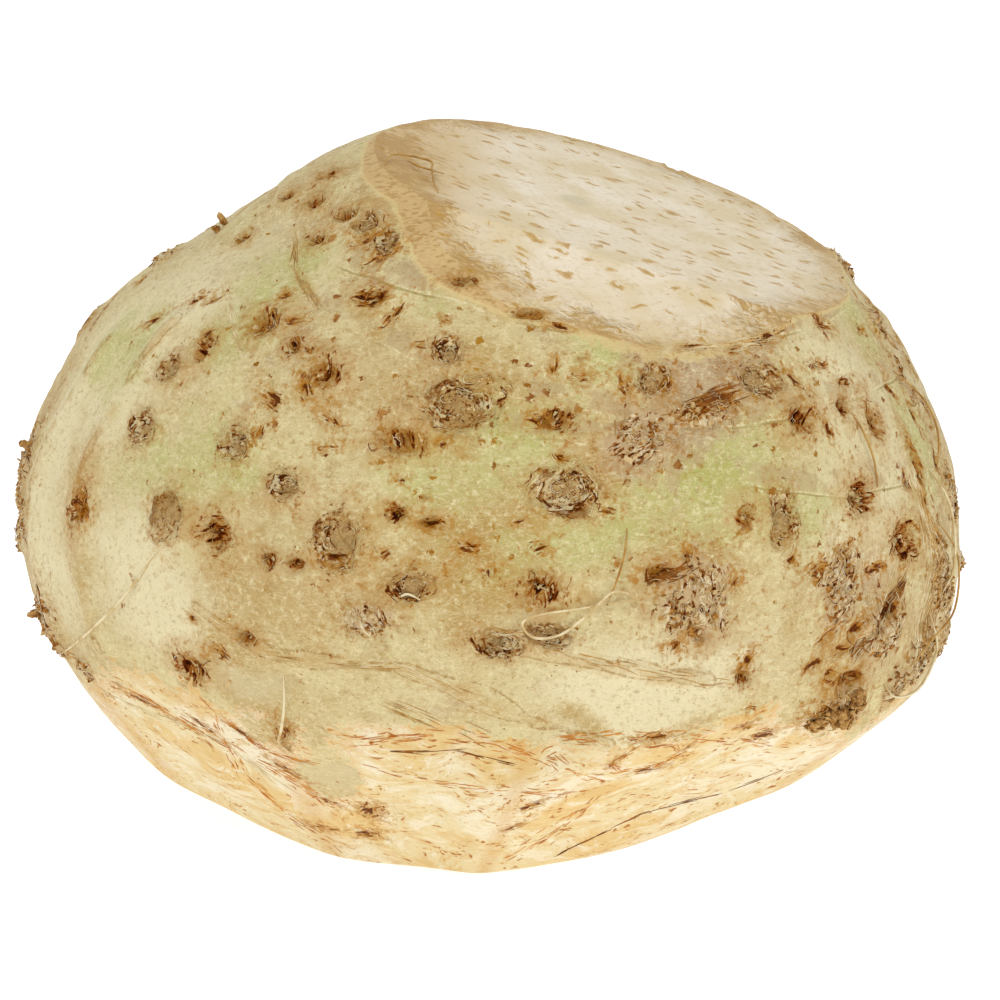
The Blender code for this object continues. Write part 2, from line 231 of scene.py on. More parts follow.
def rough(directions, lumps):
    """Smooth noise between -1 and 1, with so many lumps to one radius."""
    return np.array([noise.noise(Vector(direction) * lumps) for direction in directions])


def swelling_height(directions):
    height = np.zeros(len(directions))
    for longitude, latitude, half_width, rise in SWELLINGS:
        away = np.arccos(np.clip(directions @ direction_of(longitude, latitude), -1, 1))
        height += rise * bump(away / math.radians(half_width))
    return height


def fold_distances(directions):
    """Millimetres from every fold."""
    distances = []
    for points, _, _ in FOLDS:
        near = np.full(len(directions), 1e6)
        for start, end in zip(points, points[1:]):
            a, b = direction_of(*start), direction_of(*end)
            along = np.clip((directions - a) @ (b - a) / ((b - a) @ (b - a)), 0, 1)
            away = np.linalg.norm(directions - a - along[:, None] * (b - a), axis=1) * SCALE_RADIUS
            near = np.minimum(near, away)
        distances.append(near)
    return distances


def ring_distances(places, directions):
    """Millimetres above the crease of every leaf-base ring."""
    up = places @ RING_AXIS
    longitude = np.arctan2(directions[:, 1], directions[:, 0])
    distances = []
    for level, sway, *_ in RINGS:
        wave = np.sin(2 * longitude + level) + 0.5 * np.sin(5 * longitude - level)
        distances.append(up - level - sway * wave)
    return distances


def scar_shares(directions, scars, ragged):
    """How far out of each scar a place is, 1 at its ragged outline: one row per scar."""
    shares = []
    for longitude, latitude, half_width, half_height, *turn in scars:
        middle = direction_of(longitude, latitude)
        east = direction_of(longitude + 90, 0)
        facing = np.clip(directions @ middle, 1e-3, None)
        across = directions @ east / facing * SCALE_RADIUS
        upward = directions @ np.cross(middle, east) / facing * SCALE_RADIUS
        cosine, sine = math.cos(math.radians(sum(turn))), math.sin(math.radians(sum(turn)))
        along, beside = across * cosine + upward * sine, upward * cosine - across * sine
        shares.append(np.hypot(along / half_width, beside / half_height) * (1 + ragged))
    return np.array(shares)


def eye_profile(share):
    """A shallow dish with a raised rim and a plug of cork in its middle."""
    return 0.6 * bump((share - 1.05) / 0.3) - 0.7 * bump((share - 0.6) / 0.28) + 0.1 * bump(share / 0.3)


def pit_profile(share):
    """A ragged little hole inside a low swelling."""
    return 0.4 * bump((share - 1.15) / 0.35) - 1.2 * bump(share / 0.65)


def crust_profile(share):
    """A patch of cork standing a little proud."""
    return 0.8 * np.exp(-(share**4))


def hidden_scars():
    """Seeded scars for the sides that face away, none on another: a list each of eyes, pits and crusts."""
    rng = random.Random(31)
    drawn = []
    middles = []
    for _ in range(HIDDEN_TRIES):
        longitude, latitude = rng.uniform(-8, 184), math.degrees(math.asin(rng.uniform(-0.42, 0.80)))
        middle = direction_of(longitude, latitude)
        apart = all(middle @ other < math.cos(math.radians(HIDDEN_GAP)) for other in middles)
        if len(drawn) < HIDDEN_SCARS and apart:
            size = rng.choice((1.4, 1.8, 2.2, 2.8, 3.6))
            drawn.append((longitude, latitude, size * rng.uniform(0.9, 1.3), size * rng.uniform(0.6, 1.1)))
            middles.append(middle)
    return drawn[0::3], drawn[1::3], drawn[2::6]


def hidden_stains():
    rng = random.Random(57)
    stains = []
    for _ in range(HIDDEN_STAINS):
        longitude, latitude = rng.uniform(-12, 188), math.degrees(math.asin(rng.uniform(-0.3, 0.9)))
        length = rng.choice((0.9, 1.2, 1.8, 2.6))
        stains.append((longitude, latitude, length, rng.uniform(0.7, 1.0), rng.uniform(-80, 80)))
    return stains


def strength_between(longitude, spans):
    """1 inside any of some spans of longitude, and falling to 0 beyond their ends."""
    strength = np.zeros(len(longitude))
    for first, last in spans:
        beyond = np.maximum(first - longitude, longitude - last)
        strength = np.maximum(strength, np.clip(1 - beyond / RING_ENDS, 0, 1))
    return strength


hidden_eyes, hidden_pits, hidden_crusts = hidden_scars()
eyes = list(EYES) + hidden_eyes
pits = list(PITS) + hidden_pits
crusts = list(CRUSTS) + hidden_crusts
stains = list(STAINS) + hidden_stains()


def fibre_places(directions, scars, shares, wound_scars):
    """The nearest scar, and the place along and across its torn fibres, which run round it or straight."""
    rng = random.Random(83)
    runs = []
    for longitude, latitude, half_width, half_height, *turn in scars:
        middle, east = direction_of(longitude, latitude), direction_of(longitude + 90, 0)
        angle = math.radians(turn[0] if turn else rng.uniform(0, 180))
        radius = (half_width + half_height) / 2
        runs.append((*middle, *east, *np.cross(middle, east), math.cos(angle), math.sin(angle), radius))
    number = shares.argmin(axis=0)
    run = np.array(runs)[number]
    facing = np.clip((directions * run[:, 0:3]).sum(axis=1), 1e-3, None) / SCALE_RADIUS
    across = (directions * run[:, 3:6]).sum(axis=1) / facing
    upward = (directions * run[:, 6:9]).sum(axis=1) / facing
    cosine, sine, radius = run[:, 9:12].T
    lengthways = (across * cosine + upward * sine) * 0.42
    straight = np.stack([lengthways, upward * cosine - across * sine, number * 7.0])
    bearing = np.arctan2(upward, across)
    out_from_middle = shares.min(axis=0) * radius * 2.5 + number * 17
    wound = np.stack([np.cos(bearing) * radius, np.sin(bearing) * radius, out_from_middle])
    return number, np.where(number < wound_scars, wound * 0.6, straight).T


def grow(directions):
    """The skin's places before the knife, what the colours follow, and the run of the torn fibres."""
    reach = reach_towards(directions) + swelling_height(directions)
    for lumps, rise in LUMPS:
        reach += rise * rough(directions, lumps)
    folds = fold_distances(directions)
    for near, (_, rise, half_width) in zip(folds, FOLDS):
        reach += rise * bump(near / half_width)
    rings = ring_distances(directions * reach[:, None] + CORE, directions)
    longitude = np.degrees(np.arctan2(directions[:, 1], directions[:, 0]))
    ring_here = np.zeros(len(directions))
    for above, (level, _, depth, lip, spans) in zip(rings, RINGS):
        shown = strength_between(longitude, spans)
        strength = depth * (0.65 + 0.35 * np.sin(3 * np.radians(longitude) + 2 * level)) * (0.2 + 0.4 * shown)
        reach += strength * (0.8 * bump((above - lip) / lip) - bump(above / (0.7 * lip)))
        ring_here = np.maximum(ring_here, shown * bump(above / 5))
    ragged = 0.25 * rough(directions, 21) + 0.15 * rough(directions, 47)
    crumbs = rough(directions, 62)
    eye_shares = scar_shares(directions, eyes, ragged)
    pit_shares = scar_shares(directions, pits, ragged)
    crust_shares = scar_shares(directions, crusts, ragged)
    stain_shares = scar_shares(directions, stains, ragged)
    reach += eye_profile(eye_shares).sum(axis=0)
    reach += pit_profile(pit_shares).sum(axis=0)
    reach += crust_profile(crust_shares).sum(axis=0)
    reach -= STAIN_DEPTH * bump(stain_shares.min(axis=0) / 0.8)
    shares = np.vstack([eye_shares, pit_shares, crust_shares])
    scarred = bump(shares.min(axis=0) / 1.1)
    reach += scarred * 0.6 * crumbs + 0.6 * bump(crust_shares.min(axis=0)) * ragged * 2
    follows = {
        "eye_share": eye_shares.min(axis=0),
        "pit_share": pit_shares.min(axis=0),
        "crust_share": crust_shares.min(axis=0),
        "stain_share": stain_shares.min(axis=0),
        "scar_luck": shares.argmin(axis=0) * 0.618 % 1,
        "ring_here": ring_here,
        "fold_mm": np.min(folds, axis=0),
    }
    for number, above in enumerate(rings):
        follows["ring_%d_mm" % number] = above
    runs = {
        "scar": fibre_places(directions, eyes + pits + crusts, shares, len(eyes)),
        "stain": fibre_places(directions, stains, stain_shares, 0),
    }
    return directions * reach[:, None] + CORE, follows, runs


def base_cuts():
    """The planes round the root end and the flat under it, as points and directions like the crown's."""
    cuts = [(np.zeros(3), np.array((0, 0, -1)))]
    for longitude, slope, start in BASE_SLICES:
        outward = direction_of(longitude, 0)
        slope = math.radians(slope)
        cuts.append((outward * start, outward * math.sin(slope) - np.array((0, 0, math.cos(slope)))))
    return cuts


def beyond_cuts(places, cuts):
    """Millimetres that places lie beyond the nearest of some cuts, below zero where the root is kept."""
    return np.max([(places - point) @ axis for point, axis in cuts], axis=0)


def pared(directions, places):
    """Skin places drawn in to the slices round the root end, with the edges between slices softened."""
    reach = np.linalg.norm(places - CORE, axis=1)
    waver = 0.3 * rough(directions, 7)
    for point, axis in base_cuts():
        towards = np.clip(directions @ axis, 1e-3, None)
        cut = ((point - CORE) @ axis + (0 if axis[2] == -1 else 1) * waver) / towards
        rounding = 0.3 if axis[2] == -1 else SLICE_ROUNDING
        share = np.clip(0.5 + 0.5 * (cut - reach) / rounding, 0, 1)
        reach = cut + (reach - cut) * share - rounding * share * (1 - share)
    drawn = directions * reach[:, None] + CORE
    drawn[:, 2] = np.maximum(drawn[:, 2], 0)
    return drawn


def directions_in(mesh):
    places = np.array([vertex.co for vertex in mesh.verts]) / MM - CORE
    return places / np.linalg.norm(places, axis=1)[:, None]


root_mesh = bmesh.new()
bmesh.ops.create_cube(root_mesh, size=2)
bmesh.ops.subdivide_edges(root_mesh, edges=root_mesh.edges[:], cuts=GRID_CELLS - 1, use_grid_fill=True)
for vertex in root_mesh.verts:
    evened = Vector(math.tan(side * math.pi / 4) for side in vertex.co)
    vertex.co = evened.normalized()
globe_directions = np.array([vertex.co for vertex in root_mesh.verts])
skin_places, *_ = grow(globe_directions)
for vertex, place in zip(root_mesh.verts, pared(globe_directions, skin_places)):
    vertex.co = Vector(place) * MM

# Each crown cut puts a loop of edges exactly on its rim, then what lies beyond is drawn in to the cut face
for point, axis in CROWN_CUTS:
    everything = root_mesh.verts[:] + root_mesh.edges[:] + root_mesh.faces[:]
    bmesh.ops.bisect_plane(root_mesh, geom=everything, dist=1e-5, plane_co=point * MM, plane_no=axis)
    directions = directions_in(root_mesh)
    for vertex, direction in zip(root_mesh.verts, directions):
        beyond = (np.array(vertex.co) / MM - point) @ axis
        if beyond > 0:
            reach = ((point - CORE) @ axis) / (direction @ axis)
            vertex.co = Vector(direction * reach + CORE) * MM
bmesh.ops.triangulate(root_mesh, faces=root_mesh.faces[:])

directions = directions_in(root_mesh)
skin_places, follows, runs = grow(directions)
follows["crown_mm"] = beyond_cuts(skin_places, CROWN_CUTS)
follows["base_mm"] = beyond_cuts(skin_places, base_cuts())
for longitude, latitude, half_width, extra in PARED_PATCHES:
    away = np.arccos(np.clip(directions @ direction_of(longitude, latitude), -1, 1))
    follows["base_mm"] += extra * bump(away / math.radians(half_width))
rind_width = np.interp(np.degrees(np.arctan2(directions[:, 1], directions[:, 0])), *RIND_WIDTHS)
follows["rind_mm"] = follows["crown_mm"] + rind_width
beyond_each = np.sort([(skin_places - point) @ axis for point, axis in base_cuts()], axis=0)
follows["slice_edge_mm"] = beyond_each[-1] - beyond_each[-2]

# Zones of colour: longitude, latitude, half-width in degrees, strength
GREEN_ZONES = (
    (-158, 26, 8, 0.8), (-136, 33, 7, 0.7), (-136, 46, 7, 0.9), (-140, 14, 8, 0.6), (-128, 17, 6, 0.8),
    (-100, 17, 7, 0.6), (-87, 23, 7, 1.0), (-88, 7, 6, 0.4), (-70, 12, 6, 0.4), (-72, 34, 6, 0.9),
    (-60, 17, 9, 1.0), (-49, 9, 5, 0.7),
    (-20, 30, 7, 0.7), (-20, 13, 7, 0.7), (-79, 10, 6, 0.7), (-100, 41, 5, 0.5), (30, 28, 12, 0.8),
    (75, 15, 14, 0.7), (120, 30, 12, 0.8), (165, 20, 10, 0.7),
)
LILAC_ZONES = (
    (-84, 40, 6, 0.7), (-108, 46, 7, 0.7), (-66, 33, 6, 0.7), (-71, 20, 6, 0.9), (-62, 24, 7, 0.7),
    (-125, 33, 6, 0.6), (-66, 0, 7, 0.35), (-40, -4, 8, 0.65), (-97, -15, 4, 0.7), (-150, 40, 8, 0.4),
    (-140, 56, 8, 0.6), (-128, 22, 5, 0.4), (15, 10, 10, 0.5), (60, 32, 10, 0.6), (110, 8, 9, 0.5),
    (150, 34, 10, 0.5), (-56, 32, 8, 0.65), (-45, 31, 6, 0.45),
)
TAN_ZONES = (
    (-118, 8, 11, 0.6), (-100, 6, 9, 0.35), (-124, -6, 8, 0.6), (-150, 0, 6, 0.7), (-66, 6, 10, 0.25),
    (-45, -8, 8, 0.45), (-81, -15, 4, 1.0), (-106, 28, 8, 0.4), (-50, 22, 8, 0.5), (40, -5, 14, 0.6),
    (85, 20, 10, 0.5), (135, 0, 14, 0.6), (-170, 2, 8, 0.8), (-92, 15, 11, 1.0), (-70, 14, 10, 1.0),
    (-90, 31, 8, 0.7), (-88, 5, 7, 0.45), (-78, 2, 8, 0.15), (-94, -2, 8, 0.25),
)
FRECKLED_ZONES = (
    (-95, 32, 20, 0.8), (-50, 20, 24, 1.0), (-112, 46, 16, 0.9), (-84, 8, 16, 0.5), (-32, 0, 18, 1.0),
    (-125, 28, 14, 0.6), (60, 20, 30, 0.8), (130, 10, 30, 0.8), (-150, 45, 14, 0.5), (0, 25, 20, 0.8),
)
PALE_ZONES = (
    (-74, -12, 13, 1.0), (-136, -2, 10, 0.9), (-150, 20, 8, 0.5), (-45, 3, 8, 0.4), (-100, -12, 9, 0.4),
    (0, -12, 12, 0.8), (60, -10, 14, 0.8), (110, -14, 12, 0.7), (-160, -2, 12, 0.8), (-22, -12, 10, 0.5),
    (-128, 44, 10, 0.4), (-152, 34, 9, 0.5), (-60, -8, 8, 0.5), (-36, 28, 10, 0.6), (-30, 10, 9, 0.5),
    (-45, 14, 8, 0.4), (-140, 4, 8, 0.5), (-162, 14, 8, 0.6), (-150, 46, 14, 0.5), (-166, 28, 10, 0.5),
    (-38, -1, 9, 0.4), (-134, 24, 10, 0.4),
    (-28, 20, 8, 0.4),
)
GREY_ZONES = (
    (-122, -11, 5, 1.0), (-118, -30, 5, 1.0), (-38, -12, 5, 0.8), (-176, 40, 6, 0.6), (-61, -2, 4, 0.4),
    (25, -6, 6, 0.8), (120, 2, 7, 0.7), (80, 30, 6, 0.6), (-146, 44, 12, 0.5),
)


def zone_strength(directions, zones):
    strength = np.zeros(len(directions))
    for longitude, latitude, half_width, most in zones:
        away = np.arccos(np.clip(directions @ direction_of(longitude, latitude), -1, 1))
        strength += most * bump(away / math.radians(half_width))
    return np.clip(strength, 0, 1)


wander = np.stack([rough(directions[:, order], 6) for order in ([0, 1, 2], [1, 2, 0], [2, 0, 1])])
wandered = directions + 0.06 * wander.T
wandered /= np.linalg.norm(wandered, axis=1)[:, None]
follows["green"] = zone_strength(wandered, GREEN_ZONES)
follows["lilac"] = zone_strength(wandered, LILAC_ZONES)
follows["tan"] = zone_strength(wandered, TAN_ZONES)
follows["pale"] = zone_strength(wandered, PALE_ZONES)
follows["grey"] = zone_strength(wandered, GREY_ZONES)
near_scar = bump(np.min([follows[name] for name in ("eye_share", "pit_share", "crust_share")], axis=0) / 2.2)
follows["freckled"] = 0.3 + 0.8 * zone_strength(wandered, FRECKLED_ZONES) + 0.6 * near_scar

places = np.array([vertex.co for vertex in root_mesh.verts])
middle = (places.min(axis=0) + places.max(axis=0)) / 2
shift = Vector((-middle[0], -middle[1], 0))
bmesh.ops.translate(root_mesh, verts=root_mesh.verts[:], vec=shift)
root_touch = BVHTree.FromBMesh(root_mesh)

mesh = bpy.data.meshes.new("root")
root_mesh.to_mesh(mesh)
mesh.shade_smooth()
# Fibres are left out where two scars meet, because their runs don't
ends = np.zeros(len(mesh.edges) * 2, dtype=int)
mesh.edges.foreach_get("vertices", ends)
ends = ends.reshape(-1, 2)
for name, (nearest, along) in runs.items():
    follows["one_" + name] = np.ones(len(mesh.vertices))
    follows["one_" + name][ends[nearest[ends[:, 0]] != nearest[ends[:, 1]]]] = 0
    attribute = mesh.attributes.new("along_" + name, "FLOAT_VECTOR", "POINT")
    attribute.data.foreach_set("vector", along.astype(np.float32).ravel())
for name, values in follows.items():
    attribute = mesh.attributes.new(name, "FLOAT", "POINT")
    attribute.data.foreach_set("value", np.clip(values, -30, 30).astype(np.float32))


def add_piece(name, data):
    """Puts a finished piece in the scene, on the one body."""
    piece = bpy.data.objects.new(name, data)
    bpy.context.scene.collection.objects.link(piece)
    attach(piece, "root")
    return piece


root = add_piece("root", mesh)
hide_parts("celeriac_root")


def linear(colour):
    """A #RRGGBB colour as the linear values that a shader takes."""
    values = [int(colour[i : i + 2], 16) / 255 for i in (1, 3, 5)]
    return (*[v / 12.92 if v <= 0.04045 else ((v + 0.055) / 1.055) ** 2.4 for v in values], 1)


def add_node(material, kind, *values, out=0, **settings):
    """Adds a shader node: operation after a dot, values in order or by socket, links and settings."""
    kind, _, operation = kind.partition(".")
    made = material.node_tree.nodes.new("ShaderNode" + kind)
    for name, value in settings.items():
        setattr(made, name, value)
    if operation:
        made.operation = operation
    by_socket = values[0] if values and isinstance(values[0], dict) else dict(enumerate(values))
    for socket, value in by_socket.items():
        if isinstance(value, bpy.types.NodeSocket):
            material.node_tree.links.new(value, made.inputs[socket])
        else:
            made.inputs[socket].default_value = linear(value) if isinstance(value, str) else value
    return made.outputs[out]


def new_material(name, roughness, specular, bump_mm):
    """A Principled material for plant tissue, with a bump of its own."""
    material = bpy.data.materials.new(name)
    material.use_nodes = True
    shader = material.node_tree.nodes["Principled BSDF"]
    for socket, value in (("Roughness", roughness), ("Specular IOR Level", specular), ("IOR", 1.4)):
        shader.inputs[socket].default_value = value
    relief = material.node_tree.nodes.new("ShaderNodeBump")
    relief.inputs["Distance"].default_value = bump_mm * MM
    material.node_tree.links.new(relief.outputs["Normal"], shader.inputs["Normal"])
    return material


def finish_material(material, **sources):
    """Links a material's Height to its bump, and its other sources to the shader sockets of their names."""
    nodes = material.node_tree.nodes
    for name, source in sources.items():
        taker = nodes["Bump"] if name == "Height" else nodes["Principled BSDF"]
        material.node_tree.links.new(source, taker.inputs[name.replace("_", " ")])


def painted(material, ground, coats):
    """A ground colour under coats: value, where the coat starts and is full, strength, colour."""
    colour = ground
    for value, start, full, strength, coat in coats:
        reach = {0: value, 1: start, 2: full, 4: strength}
        share = add_node(material, "MapRange", reach, interpolation_type="SMOOTHSTEP")
        colour = add_node(material, "Mix", {0: share, 6: colour, 7: coat}, out=2, data_type="RGBA")
    return colour


# ---- Skin ----
# Living skin over the flesh, smooth and slightly damp between the scars, gone to brown and grey cork in them.
# It shows as straw and cream with green, lilac and tan blooms, dry threads, stains and dull broken cork, and
# round the root end it is pared away to wet cream flesh with orange vessels.
skin = new_material("celeriac_skin", 0.55, 0.06, 0.30)
node = partial(add_node, skin)
at = node("TexCoord", out=3)
cloud = node("SeparateColor", node("TexNoise", {"Vector": at, "Scale": 1 / (15 * MM), "Detail": 2.0}, out=1))
cloud_2, cloud_3 = cloud.node.outputs[1:]
mottles = node("TexNoise", {"Vector": at, "Scale": 1 / (4.2 * MM), "Detail": 4.0, "Roughness": 0.62}, out=1)
mottle = node("SeparateColor", mottles)
mottle_2, mottle_3 = mottle.node.outputs[1:]
grits = node("TexNoise", {"Vector": at, "Scale": 1 / (0.9 * MM), "Detail": 3.0, "Roughness": 0.72}, out=1)
grit = node("SeparateColor", grits)
grit_2, grit_3 = grit.node.outputs[1:]
level_place = node("Mapping", {"Vector": at, "Scale": (1, 1, 2.6), "Rotation": (0, 0.17, 0)})
fibre = node("TexNoise", {"Vector": level_place, "Scale": 1 / (2.0 * MM), "Detail": 3.0, "Distortion": 1.4})
field = {name: node("Attribute", out=2, attribute_name=name) for name in follows}

# Each bloom takes its zone's strength, broken up by the mottles
blooms = {}
for name, breaker, amount in (
    ("green", mottle_3, 1.2),
    ("lilac", mottle, 1.8),
    ("tan", mottle_2, 1.5),
    ("pale", mottle, 0.9),
    ("grey", mottle, 1.8),
):
    broken = node("Math.MULTIPLY_ADD", breaker, amount, -amount / 2)
    blooms[name] = node("Math.ADD", field[name], broken)

# Dry threads follow the middle value of the stretched noise
off_thread = node("Math.ABSOLUTE", node("Math.SUBTRACT", fibre, 0.5))
thread = node("Math.SUBTRACT", off_thread, node("Math.MULTIPLY", mottle_2, 0.06))

# Specks where hair roots broke off, each a size of its own, and thicker on the freckled zones
speck_place = node("VectorMath.MULTIPLY_ADD", grits, (0.0022, 0.0022, 0.0022), at)
speck_cells = node("TexVoronoi", {"Vector": speck_place, "Scale": 1 / (2.1 * MM)})
speck_dice = node("SeparateColor", speck_cells.node.outputs["Color"])
speck_kind = speck_dice.node.outputs[1]
speck_reach = node("Math.MULTIPLY", node("Math.MULTIPLY_ADD", speck_dice, 0.26, -0.06), field["freckled"])
speck_rough = node("Math.MULTIPLY_ADD", grit, 0.55, -0.27)
speck = node("Math.SUBTRACT", node("Math.ADD", speck_cells, speck_rough), speck_reach)
speck_colour = node("Mix", {0: speck_kind, 6: "#7E4000", 7: "#A87818"}, out=2, data_type="RGBA")

# Short rust strokes of torn fibre, near upright, and thickest on the same zones
stroke_bend = node("VectorMath.MULTIPLY_ADD", mottles, (0.004, 0.004, 0.004), at)
stroke_place = node("Mapping", {"Vector": stroke_bend, "Rotation": (0, 0.5, 0.3), "Scale": (1, 1, 0.36)})
stroke_cells = node("TexVoronoi", {"Vector": stroke_place, "Scale": 1 / (3.4 * MM)})
stroke_dice = node("SeparateColor", stroke_cells.node.outputs["Color"])
stroke_reach = node("Math.MULTIPLY", node("Math.MULTIPLY_ADD", stroke_dice, 0.34, -0.16), field["freckled"])
stroke = node("Math.ADD", node("Math.MULTIPLY_ADD", grit_2, 0.7, -0.35), stroke_cells)
stroke = node("Math.SUBTRACT", stroke, stroke_reach)

# Torn fibre in the scars, drawn along each scar's own run, and rust where it has dried
curly = node("TexNoise", {"Vector": at, "Scale": 1 / (1.3 * MM), "Detail": 2.0, "Distortion": 2.6})
torn_noise = {"Scale": 1.3, "Detail": 3.0, "Roughness": 0.58, "Distortion": 1.0}
torn_place = node("Attribute", out=1, attribute_name="along_scar")
torn = node("SeparateColor", node("TexNoise", {"Vector": torn_place, **torn_noise}, out=1))
torn_2 = torn.node.outputs[1]
stain_place = node("Attribute", out=1, attribute_name="along_stain")
stain_torn = node("TexNoise", {"Vector": stain_place, **torn_noise})
rusted = node("MapRange", grit_3, 0.42, 0.58)
rust = node("Mix", {0: rusted, 6: "#7A3804", 7: "#B07420"}, out=2, data_type="RGBA")

# Scar outlines made ragged by the noises, with the stain round them more ragged still
wobble = node("Math.MULTIPLY_ADD", mottle_2, 1.5, -0.75)
wobble = node("Math.MULTIPLY_ADD", grit_2, 1.2, node("Math.SUBTRACT", wobble, 0.6))
ragged = {}
blotted = {}
for name in ("eye", "pit", "crust"):
    share = field[name + "_share"]
    ragged[name] = node("Math.ADD", share, wobble)
    blot = node("Math.ADD", node("Math.MULTIPLY_ADD", wobble, 1.2, share), 2.0)
    blotted[name] = node("Math.MULTIPLY_ADD", mottle, -4.0, blot)

# Brown and pale fibres thin out away from the middle of a pit or stain, the ring of an eye and all of a crust
eye_line = node("Math.ABSOLUTE", node("Math.SUBTRACT", ragged["eye"], 0.95))
eye_line = node("Math.MULTIPLY_ADD", mottle_3, 1.5, node("Math.SUBTRACT", eye_line, 0.75))
off_middle = {
    "eye": node("Math.ABSOLUTE", node("Math.SUBTRACT", ragged["eye"], 0.7)),
    "pit": ragged["pit"],
    "crust": node("Math.MAXIMUM", node("Math.SUBTRACT", ragged["crust"], 0.7), 0.0),
    "stain": field["stain_share"],
}
luck = node("Math.MULTIPLY_ADD", field["scar_luck"], 0.07, -0.285)
luck = node("Math.MULTIPLY_ADD", field["one_scar"], 0.25, luck)
luck = node("Math.MULTIPLY_ADD", mottle, 0.5, node("Math.SUBTRACT", luck, 0.25))
whole = node("Math.MULTIPLY_ADD", field["one_stain"], 0.25, -0.25)
brown_fibres = {}
pale_fibres = {}
for name, thinning, lucky, brown in (
    ("eye", -0.31, luck, torn),
    ("pit", -0.24, luck, torn),
    ("crust", -0.30, luck, torn),
    ("stain", -0.17, whole, stain_torn),
):
    for fibres, run in ((brown_fibres, brown), (pale_fibres, torn_2)):
        fibres[name] = node("Math.MULTIPLY_ADD", off_middle[name], thinning, node("Math.ADD", run, lucky))

# Fine brown mottling spreads from every scar and fades
scar_share = node("Math.MINIMUM", field["pit_share"], field["crust_share"])
scar_share = node("Math.MINIMUM", field["eye_share"], scar_share)
fouled = node("Math.MULTIPLY_ADD", scar_share, -0.10, grit_3)
stain_fouled = node("Math.MULTIPLY_ADD", field["stain_share"], -0.10, grit_3)

# Leaf-base rings: a pale dotted lip over a broken olive line in the crease, partly the crease's own olive and
# partly painted shade in the crease, under a tan band
ring_coats_and_crease_shade = []
for number in range(len(RINGS)):
    swayed = node("Math.MULTIPLY_ADD", cloud_3, 3.0, field["ring_%d_mm" % number])
    swayed = node("Math.MULTIPLY_ADD", grit, 0.25, swayed)
    for offset, half_width, breaker, strength, coat in (
        (-3.4, 1.3, mottle_2, 0.5, "#B0946C"),
        # The olive line is partly the skin's own olive and partly painted shade in the ring's crease
        (-1.6, 0.12, cloud_2, 0.6, "#94823F"),
        (-1.85, 0.08, grit_2, 0.8, "#E2D5A8"),
    ):
        away = node("Math.ABSOLUTE", node("Math.ADD", swayed, offset))
        near = node("MapRange", away, half_width * 1.5, half_width * 0.6, interpolation_type="SMOOTHSTEP")
        near = node("Math.MULTIPLY", near, field["ring_here"])
        broken = node("MapRange", breaker, 0.46, 0.56)
        ring_coats_and_crease_shade.append((node("Math.MULTIPLY", near, broken), 0.1, 0.8, strength, coat))

# Folds carry a broken ochre line on a tan band
fold_edge = node("Math.MULTIPLY_ADD", mottle, 5.0, node("Math.SUBTRACT", field["fold_mm"], 2.5))
fold_line = node("Math.MULTIPLY_ADD", cloud_3, 6.0, node("Math.SUBTRACT", field["fold_mm"], 3.6))
fold_line = node("Math.MULTIPLY_ADD", grit_3, 1.2, node("Math.ABSOLUTE", fold_line))

# Flesh where the skin is pared away: cream, with vessels cut along their grain
bend = node("Math.MULTIPLY", cloud, 0.02)
bends = node("CombineXYZ", bend, bend, node("Math.MULTIPLY", cloud_2, 0.05))
grain_place = node("Mapping", {"Vector": at, "Location": bends, "Scale": (1, 1, 2.6)})
streak_noise = {"Scale": 1 / (5.0 * MM), "Detail": 4.0, "Roughness": 0.65, "Distortion": 0.6}
streak = node("TexNoise", {"Vector": grain_place, **streak_noise})
fleck = node("TexNoise", {"Vector": grain_place, "Scale": 1 / (1.25 * MM), "Detail": 1.0})
fleck = node("Math.MULTIPLY_ADD", streak, 0.5, fleck)
fleck = node("Math.MULTIPLY_ADD", mottle, 0.5, fleck)
base_edge = node("Math.MULTIPLY_ADD", streak, 5.0, node("Math.SUBTRACT", field["base_mm"], 6.0))
base_edge = node("Math.MULTIPLY_ADD", mottle_3, 7.0, base_edge)
off_edge = node("Math.ABSOLUTE", node("Math.SUBTRACT", base_edge, 0.4))
slice_edge = node("Math.MULTIPLY_ADD", streak, 3.0, node("Math.SUBTRACT", field["slice_edge_mm"], 1.5))
flesh = painted(
    skin,
    "#E2D0A2",
    (
        (cloud_3, 0.44, 0.60, 1.0, "#E9DDBC"),
        (cloud_2, 0.50, 0.64, 0.9, "#DFC184"),
        (streak, 0.50, 0.60, 0.5, "#D6B06C"),
        (streak, 0.46, 0.38, 0.7, "#ECE2C8"),
        (grit_2, 0.5, 0.7, 0.3, "#CDAE76"),
        (slice_edge, 0.9, 0.1, 0.35, "#CC9A54"),
        (fleck, 1.16, 1.21, 0.75, "#C08C44"),
        (fleck, 1.22, 1.27, 0.8, "#A3551E"),
    ),
)

